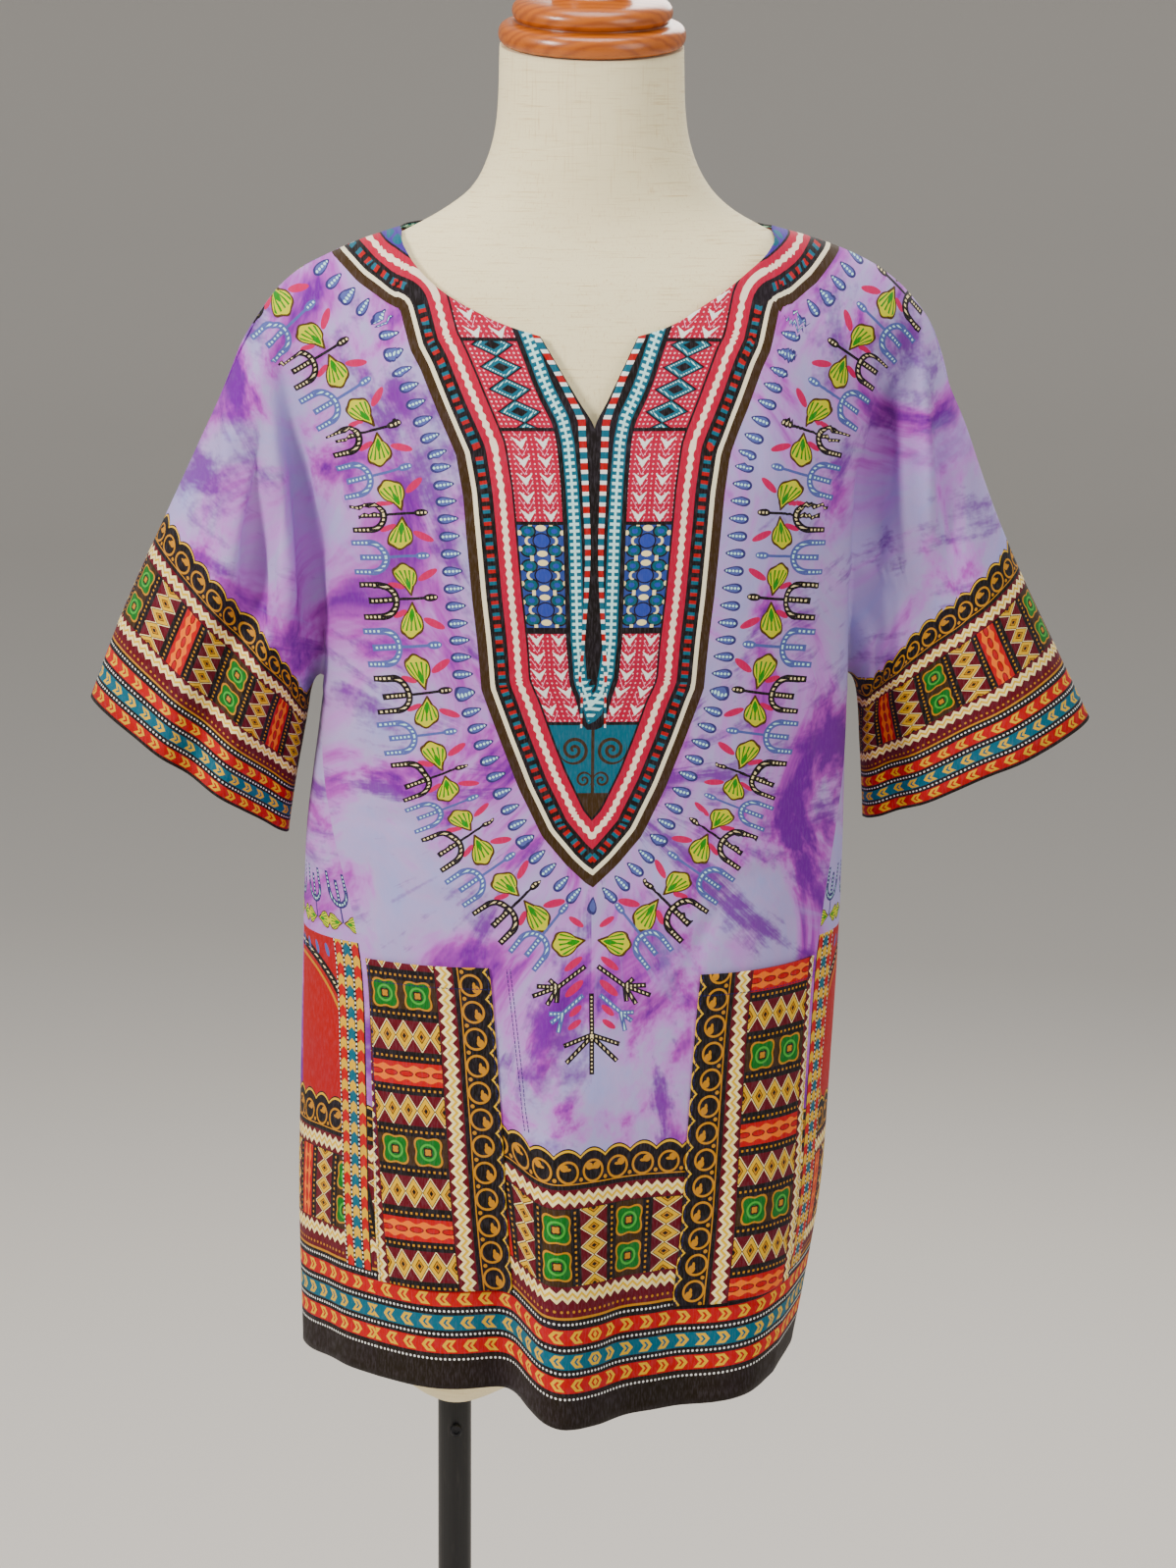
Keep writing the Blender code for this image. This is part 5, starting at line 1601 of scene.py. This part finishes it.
def side_strip(paint, d, z, h):
    """Upright bands beside the side seam and the sprigs over them."""
    strip = d.below(24.0) & z.below(898.0) & h.above(70.0)
    paint.over(strip, NEAR_BLACK)
    for middle, base in ((4.2, RED), (12.0, TEAL), (19.8, RED)):
        here = strip & d.near(middle, 2.9)
        paint.over(here, base)
        lean = abs(d - middle) * 0.9
        paint.over(here & (z + lean).wrap(ARROW_PITCH).below(6.4), YELLOW)
        paint.over(strip & oval(d - middle - 3.9, z.centred(3.0), 0.6, 0.8), WHITE_INK)
    live = h.above(181.0) & d.below(90.0)
    a, g = (d - 40.0).centred(29.0), z - 911.0
    paint.over(fork(a * 1.1, g) & live & g.above(-2.0), DARK_SLATE)
    paint.over(fork_beads(a * 1.1, g) & live & g.above(-2.0), AQUA)
    leaf(paint, abs(a) - 1.0, g + 2.0, live, 0.7)


def paint_hem(tree):
    paint, _, z, _ = tie_dye(tree)
    s, h, d = place(tree, "hem_place")
    side_block(paint, d, z)
    border_strip(paint, abs(s), h)
    side_strip(paint, d, z, h)
    return paint


def paint_cuff(tree):
    paint = tie_dye(tree)[0]
    u, h, _ = place(tree, "cuff_place")
    border_strip(paint, u + 6.0, h)
    return paint


def pocket_painter(start):
    """Border turned a quarter: its scalloped head runs down the pocket's inner edge."""

    def paint_pocket(tree):
        down, inward, wide = place(tree, "pocket_place")
        paint = Paint(tree, DARK_BROWN)
        border_strip(paint, down + start, inward * -1.0 + 178.0)
        seam = inward.near(1.6, 0.35) | inward.near(wide - 1.8, 0.35) | down.near(14.0, 0.35)
        paint.over(seam & (down + inward).wrap(2.8).below(1.9), POCKET_THREAD)
        return paint

    return paint_pocket


def linen_material(name, pale, slub):
    """Natural linen cover with slubs, a seam round the foot of the neck and one down the front."""
    made = new_material(name)
    tree = made.node_tree
    x, y, z = object_places(tree)
    paint = Paint(tree, pale)
    level = noise(tree, vector(tree, x * 0.035, y * 0.035, z * 1.1), 3.0, 0.6)
    upright = noise(tree, vector(tree, x * 1.0, y * 1.0, z * 0.03), 3.0, 0.6)
    paint.over(beyond(level, 0.56, 3.4), slub)
    paint.over(beyond(upright, 0.57, 3.0), slub)
    stain = noise(tree, vector(tree, x * 0.01, y * 0.01, z * 0.01), 3.0)
    paint.over(beyond(stain, 0.45, 0.5), ink(226, 208, 170))
    groove = (abs(z - 1402.0 + y * 0.12 + abs(x) * 0.06) * 0.8).math("MINIMUM", 1.0)
    middle = (abs(x + 4.0) * 0.8).math("MINIMUM", 1.0)
    weave = (z * 7.0).math("SINE") * (x * 7.0).math("SINE") * 0.05
    height = level * 0.35 + upright * 0.35 + groove * 0.5 + middle * 0.25 + weave
    return finish_material(
        made, paint, level * 0.18 + 0.76, height, 0.5, 0.0006,
        Specular_IOR_Level=0.2, Sheen_Weight=0.18,
    )


def wood_material(name, honey, grain_colour):
    """Turned wood with growth rings, pores, painted shade in the groove round the cap, and a satin
    varnish.
    """
    made = new_material(name)
    tree = made.node_tree
    x, y, z = object_places(tree)
    warp = noise(tree, vector(tree, x * 0.010, y * 0.05, z * 0.05), 3.0)
    rings = ((y * 0.55 + z * 0.9 + warp * 16.0).math("SINE") * 0.5 + 0.5).math("POWER", 1.7)
    pores = noise(tree, vector(tree, x * 0.07, y * 1.3, z * 1.3), 2.0)
    paint = Paint(tree, honey)
    paint.over(rings * 0.55, grain_colour)
    paint.over(beyond(pores, 0.60, 2.6), ink(92, 46, 12))
    # Painted shade: a dark ring in the groove round the cap, standing in for the shade that falls
    # into it
    groove = (z - y * 0.176 - 1000.0 * CAP_PIVOT).near(16.4, 0.9)
    paint.over(groove * 0.6, ink(84, 40, 12))
    return finish_material(
        made, paint, pores * 0.2 + 0.24, pores + rings * 0.3, 0.25, 0.0003,
        Coat_Weight=0.35, Coat_Roughness=0.18,
    )


def metal_material(name, colour, worn_colour, rough, metal):
    """Dark painted or plated metal with fine scratches and dust."""
    made = new_material(name)
    tree = made.node_tree
    x, y, z = object_places(tree)
    grain = noise(tree, vector(tree, x * 1.4, y * 1.4, z * 1.4), 3.0, 0.6)
    marks = noise(tree, vector(tree, x * 0.25, y * 0.25, z * 0.03), 4.0, 0.7)
    paint = Paint(tree, colour)
    paint.over(beyond(marks, 0.56, 2.2), worn_colour)
    finish = grain * 0.10 + marks * 0.18 + (rough - 0.14)
    return finish_material(made, paint, finish, grain, 0.2, 0.0002, Metallic=metal)


class ShirtSettings(bpy.types.PropertyGroup):
    """Cloth of the shirt and its pockets."""

    cloth: FloatProperty(
        name="Cloth thickness", description="Thickness of the printed cotton",
        default=0.0008, min=0.0003, max=0.002, unit="LENGTH",
    )
    creases: FloatProperty(
        name="Creases", description="How strongly the press and wear creases stand out",
        default=2.0, min=0.0, max=3.0,
    )
    sheen: FloatProperty(
        name="Sheen", description="Soft sheen of the cotton's surface",
        default=0.05, min=0.0, max=1.0,
    )


class FormSettings(bpy.types.PropertyGroup):
    """Dress form, its cap and its stand."""

    segments: IntProperty(
        name="Segments", description="Divisions round the dress form", default=112, min=32, max=256
    )
    linen: FloatVectorProperty(
        name="Linen", description="Colour of the linen cover",
        default=ink(250, 238, 208)[:3], subtype="COLOR", size=3, min=0.0, max=1.0,
    )
    honey: FloatVectorProperty(
        name="Wood", description="Colour of the cap's wood between its growth rings",
        default=ink(178, 112, 34)[:3], subtype="COLOR", size=3, min=0.0, max=1.0,
    )


# Floor from before the stand to far behind it, where it sweeps up: width, and depth and height
FLOOR_ACROSS = (-14.0, 0.0, 14.0)
FLOOR_SWEEP = ((-14.0, 0.0), (10.0, 0.0), (11.6, 0.2), (12.6, 0.8), (13.2, 2.0), (13.4, 9.0))

# Lamps: name, place, size, power and colour, all turned towards one place on the shirt
LAMPS = (
    ("key_light", (-2.7, -1.8, 2.6), 1.0, 128.0, (1.0, 0.96, 0.90)),
    ("fill_light", (2.2, -2.4, 1.7), 2.2, 34.0, (1.0, 0.98, 0.96)),
    ("rim_light", (0.8, 2.2, 2.6), 1.6, 44.0, (1.0, 0.97, 0.93)),
    ("top_light", (0.0, -0.3, 3.4), 1.6, 48.0, (1.0, 0.98, 0.95)),
)
LIT_PLACE = (0.0, 0.0, 1.05)

# Outline of the cap from its top to its foot: radius and height
CAP_OUTLINE = (
    (0.0, 0.0555), (0.008, 0.0552), (0.016, 0.0535), (0.0225, 0.0495), (0.0262, 0.0440),
    (0.0272, 0.0385), (0.0255, 0.0340), (0.0285, 0.0315), (0.0400, 0.0305), (0.0470, 0.0292),
    (0.0505, 0.0265), (0.0520, 0.0230), (0.0515, 0.0190), (0.0490, 0.0165), (0.0500, 0.0150),
    (0.0560, 0.0143), (0.0590, 0.0125), (0.0605, 0.0090), (0.0605, 0.0050), (0.0590, 0.0018),
    (0.0560, 0.0), (0.0, 0.0),
)


class SHIRT_OT_body_cloth(bpy.types.Operator):
    """Build the body cloth with both sleeves as one printed shell"""

    bl_idname = "shirt.body_cloth"
    bl_label = "Body cloth"

    def execute(self, context):
        settings = context.scene.shirt_settings
        mesh = body_cloth_mesh(settings.creases)
        prints = (
            ("tie_dyed_cotton", paint_field), ("yoke_print_cotton", paint_yoke),
            ("hem_border_cotton", paint_hem), ("cuff_border_cotton", paint_cuff),
        )
        looks = [cotton(name, painter, settings.sheen) for name, painter in prints]
        piece = new_piece("body_cloth", mesh, looks)
        cloth_shell(piece, settings.cloth)
        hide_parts("shirt_front", "shirt_back")
        return {"FINISHED"}


class SHIRT_OT_pockets(bpy.types.Operator):
    """Build the two patch pockets in the border print"""

    bl_idname = "shirt.pockets"
    bl_label = "Pockets"

    def execute(self, context):
        settings = context.scene.shirt_settings
        for name, side, start in (("left", -1, 6.0), ("right", 1, 71.0)):
            mesh = pocket_mesh("border_pocket_" + name, side, settings.creases)
            look = cotton("pocket_cotton_" + name, pocket_painter(start), settings.sheen)
            piece = new_piece("border_pocket_" + name, mesh, [look])
            cloth_shell(piece, settings.cloth)
            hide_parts("pocket_" + name)
        return {"FINISHED"}


class SHIRT_OT_dress_form(bpy.types.Operator):
    """Build the linen dress form"""

    bl_idname = "shirt.dress_form"
    bl_label = "Dress form"

    def execute(self, context):
        settings = context.scene.form_settings
        mesh = form_mesh("linen_form", settings.segments)
        look = linen_material("linen_cover", (*settings.linen, 1.0), ink(206, 182, 138))
        piece = new_piece("linen_form", mesh, [look])
        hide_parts("dress_form")
        return {"FINISHED"}


class SHIRT_OT_neck_cap(bpy.types.Operator):
    """Build the turned wooden neck cap"""

    bl_idname = "shirt.neck_cap"
    bl_label = "Neck cap"

    def execute(self, context):
        settings = context.scene.form_settings
        mesh = turned_mesh("honey_cap", rounded_profile(CAP_OUTLINE, 2), 128)
        tilt = Matrix.Rotation(CAP_TILT, 4, "X")
        look = wood_material("turned_honey_wood", (*settings.honey, 1.0), ink(132, 72, 16))
        piece = new_piece("honey_cap", mesh, [look])
        high = CAP_PIVOT + math.tan(CAP_TILT) * CAP_FORWARD
        mesh.transform(Matrix.Translation((-MIDDLE, CAP_FORWARD, high)) @ tilt)
        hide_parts("neck_cap")
        return {"FINISHED"}


class SHIRT_OT_stand(bpy.types.Operator):
    """Finish the pole, the base and the set screw"""

    bl_idname = "shirt.stand"
    bl_label = "Stand"

    def execute(self, context):
        black = metal_material("black_paint", ink(22, 21, 22), ink(66, 62, 60), 0.42, 0.15)
        dark = metal_material("dark_plating", ink(60, 60, 62), ink(120, 118, 116), 0.34, 0.9)
        for node, look in (("pole", black), ("base_plate", black), ("set_screw", dark)):
            piece = bpy.data.objects[node]
            for slot in piece.material_slots:
                slot.material = look
        return {"FINISHED"}


class SHIRT_OT_studio(bpy.types.Operator):
    """Set up the pale floor and the soft lights"""

    bl_idname = "shirt.studio"
    bl_label = "Studio"

    def execute(self, context):
        rows = [[(x, y, z) for x in FLOOR_ACROSS] for y, z in FLOOR_SWEEP]
        build, rows = rings_of_points(rows)
        for low, high in zip(rows, rows[1:]):
            for i in range(2):
                build.faces.new((low[i], low[i + 1], high[i + 1], high[i]))
        mesh = smooth_mesh("studio_floor", build)
        floor = linked("studio_floor", mesh)
        look = new_material("pale_floor")
        surface = look.node_tree.nodes["Principled BSDF"]
        surface.inputs["Base Color"].default_value = ink(222, 218, 212)
        surface.inputs["Roughness"].default_value = 0.9
        mesh.materials.append(look)
        for name, spot, size, power, colour in LAMPS:
            data = bpy.data.lights.new(name, "AREA")
            data.shape, data.size, data.energy, data.color = "DISK", size, power, colour
            lamp = linked(name, data)
            lamp.location = spot
            aim = Vector(LIT_PLACE) - Vector(spot)
            lamp.rotation_euler = aim.to_track_quat("-Z", "Y").to_euler()
        world = bpy.data.worlds.new("soft_surround")
        world.use_nodes = True
        back = world.node_tree.nodes["Background"]
        back.inputs["Color"].default_value = (0.92, 0.93, 0.95, 1.0)
        back.inputs["Strength"].default_value = 0.45
        context.scene.world = world
        return {"FINISHED"}


class SHIRT_PT_panel(bpy.types.Panel):
    """Buttons that build the shirt and its dress form"""

    bl_idname = "SHIRT_PT_panel"
    bl_label = "Shirt on dress form"
    bl_space_type = "VIEW_3D"
    bl_region_type = "UI"
    bl_category = "Shirt"

    def draw(self, context):
        column = self.layout.column()
        for name in ("cloth", "creases", "sheen"):
            column.prop(context.scene.shirt_settings, name)
        for name in ("segments", "linen", "honey"):
            column.prop(context.scene.form_settings, name)
        for operator in STEPS:
            column.operator(operator.bl_idname)


STEPS = (
    SHIRT_OT_dress_form,
    SHIRT_OT_neck_cap,
    SHIRT_OT_stand,
    SHIRT_OT_body_cloth,
    SHIRT_OT_pockets,
    SHIRT_OT_studio,
)
CLASSES = (ShirtSettings, FormSettings, *STEPS, SHIRT_PT_panel)


def register():
    for made in CLASSES:
        bpy.utils.register_class(made)
    bpy.types.Scene.shirt_settings = bpy.props.PointerProperty(type=ShirtSettings)
    bpy.types.Scene.form_settings = bpy.props.PointerProperty(type=FormSettings)


def unregister():
    del bpy.types.Scene.form_settings
    del bpy.types.Scene.shirt_settings
    for made in reversed(CLASSES):
        bpy.utils.unregister_class(made)


def make_camera():
    """Camera at the photograph's place: 4 degrees to the left and 9.7 degrees down."""
    yaw, pitch, roll = math.radians(4.0), math.radians(9.7), math.radians(0.3)
    data = bpy.data.cameras.new("camera")
    data.sensor_fit = "VERTICAL"
    data.sensor_height = SENSOR_HEIGHT
    data.lens = SENSOR_HEIGHT * FOCAL_PIXELS / FRAME_PIXELS
    data.clip_start, data.clip_end = 0.1, 50.0
    camera = linked("camera", data)
    level = math.cos(pitch)
    forward = Vector((math.sin(yaw) * level, math.cos(yaw) * level, -math.sin(pitch)))
    right = Vector((math.cos(yaw), -math.sin(yaw), 0.0))
    up = right.cross(forward)
    turn = camera.matrix_world.to_3x3()
    turn.col[0] = right * math.cos(roll) + up * math.sin(roll)
    turn.col[1] = up * math.cos(roll) - right * math.sin(roll)
    turn.col[2] = -forward
    camera.rotation_euler = turn.to_euler()
    camera.location = (-0.19648, -2.75328, 1.46)
    bpy.context.scene.camera = camera


def main():
    register()
    make_camera()
    for step in STEPS:
        group, name = step.bl_idname.split(".")
        getattr(getattr(bpy.ops, group), name)()


if __name__ == "__main__":
    main()
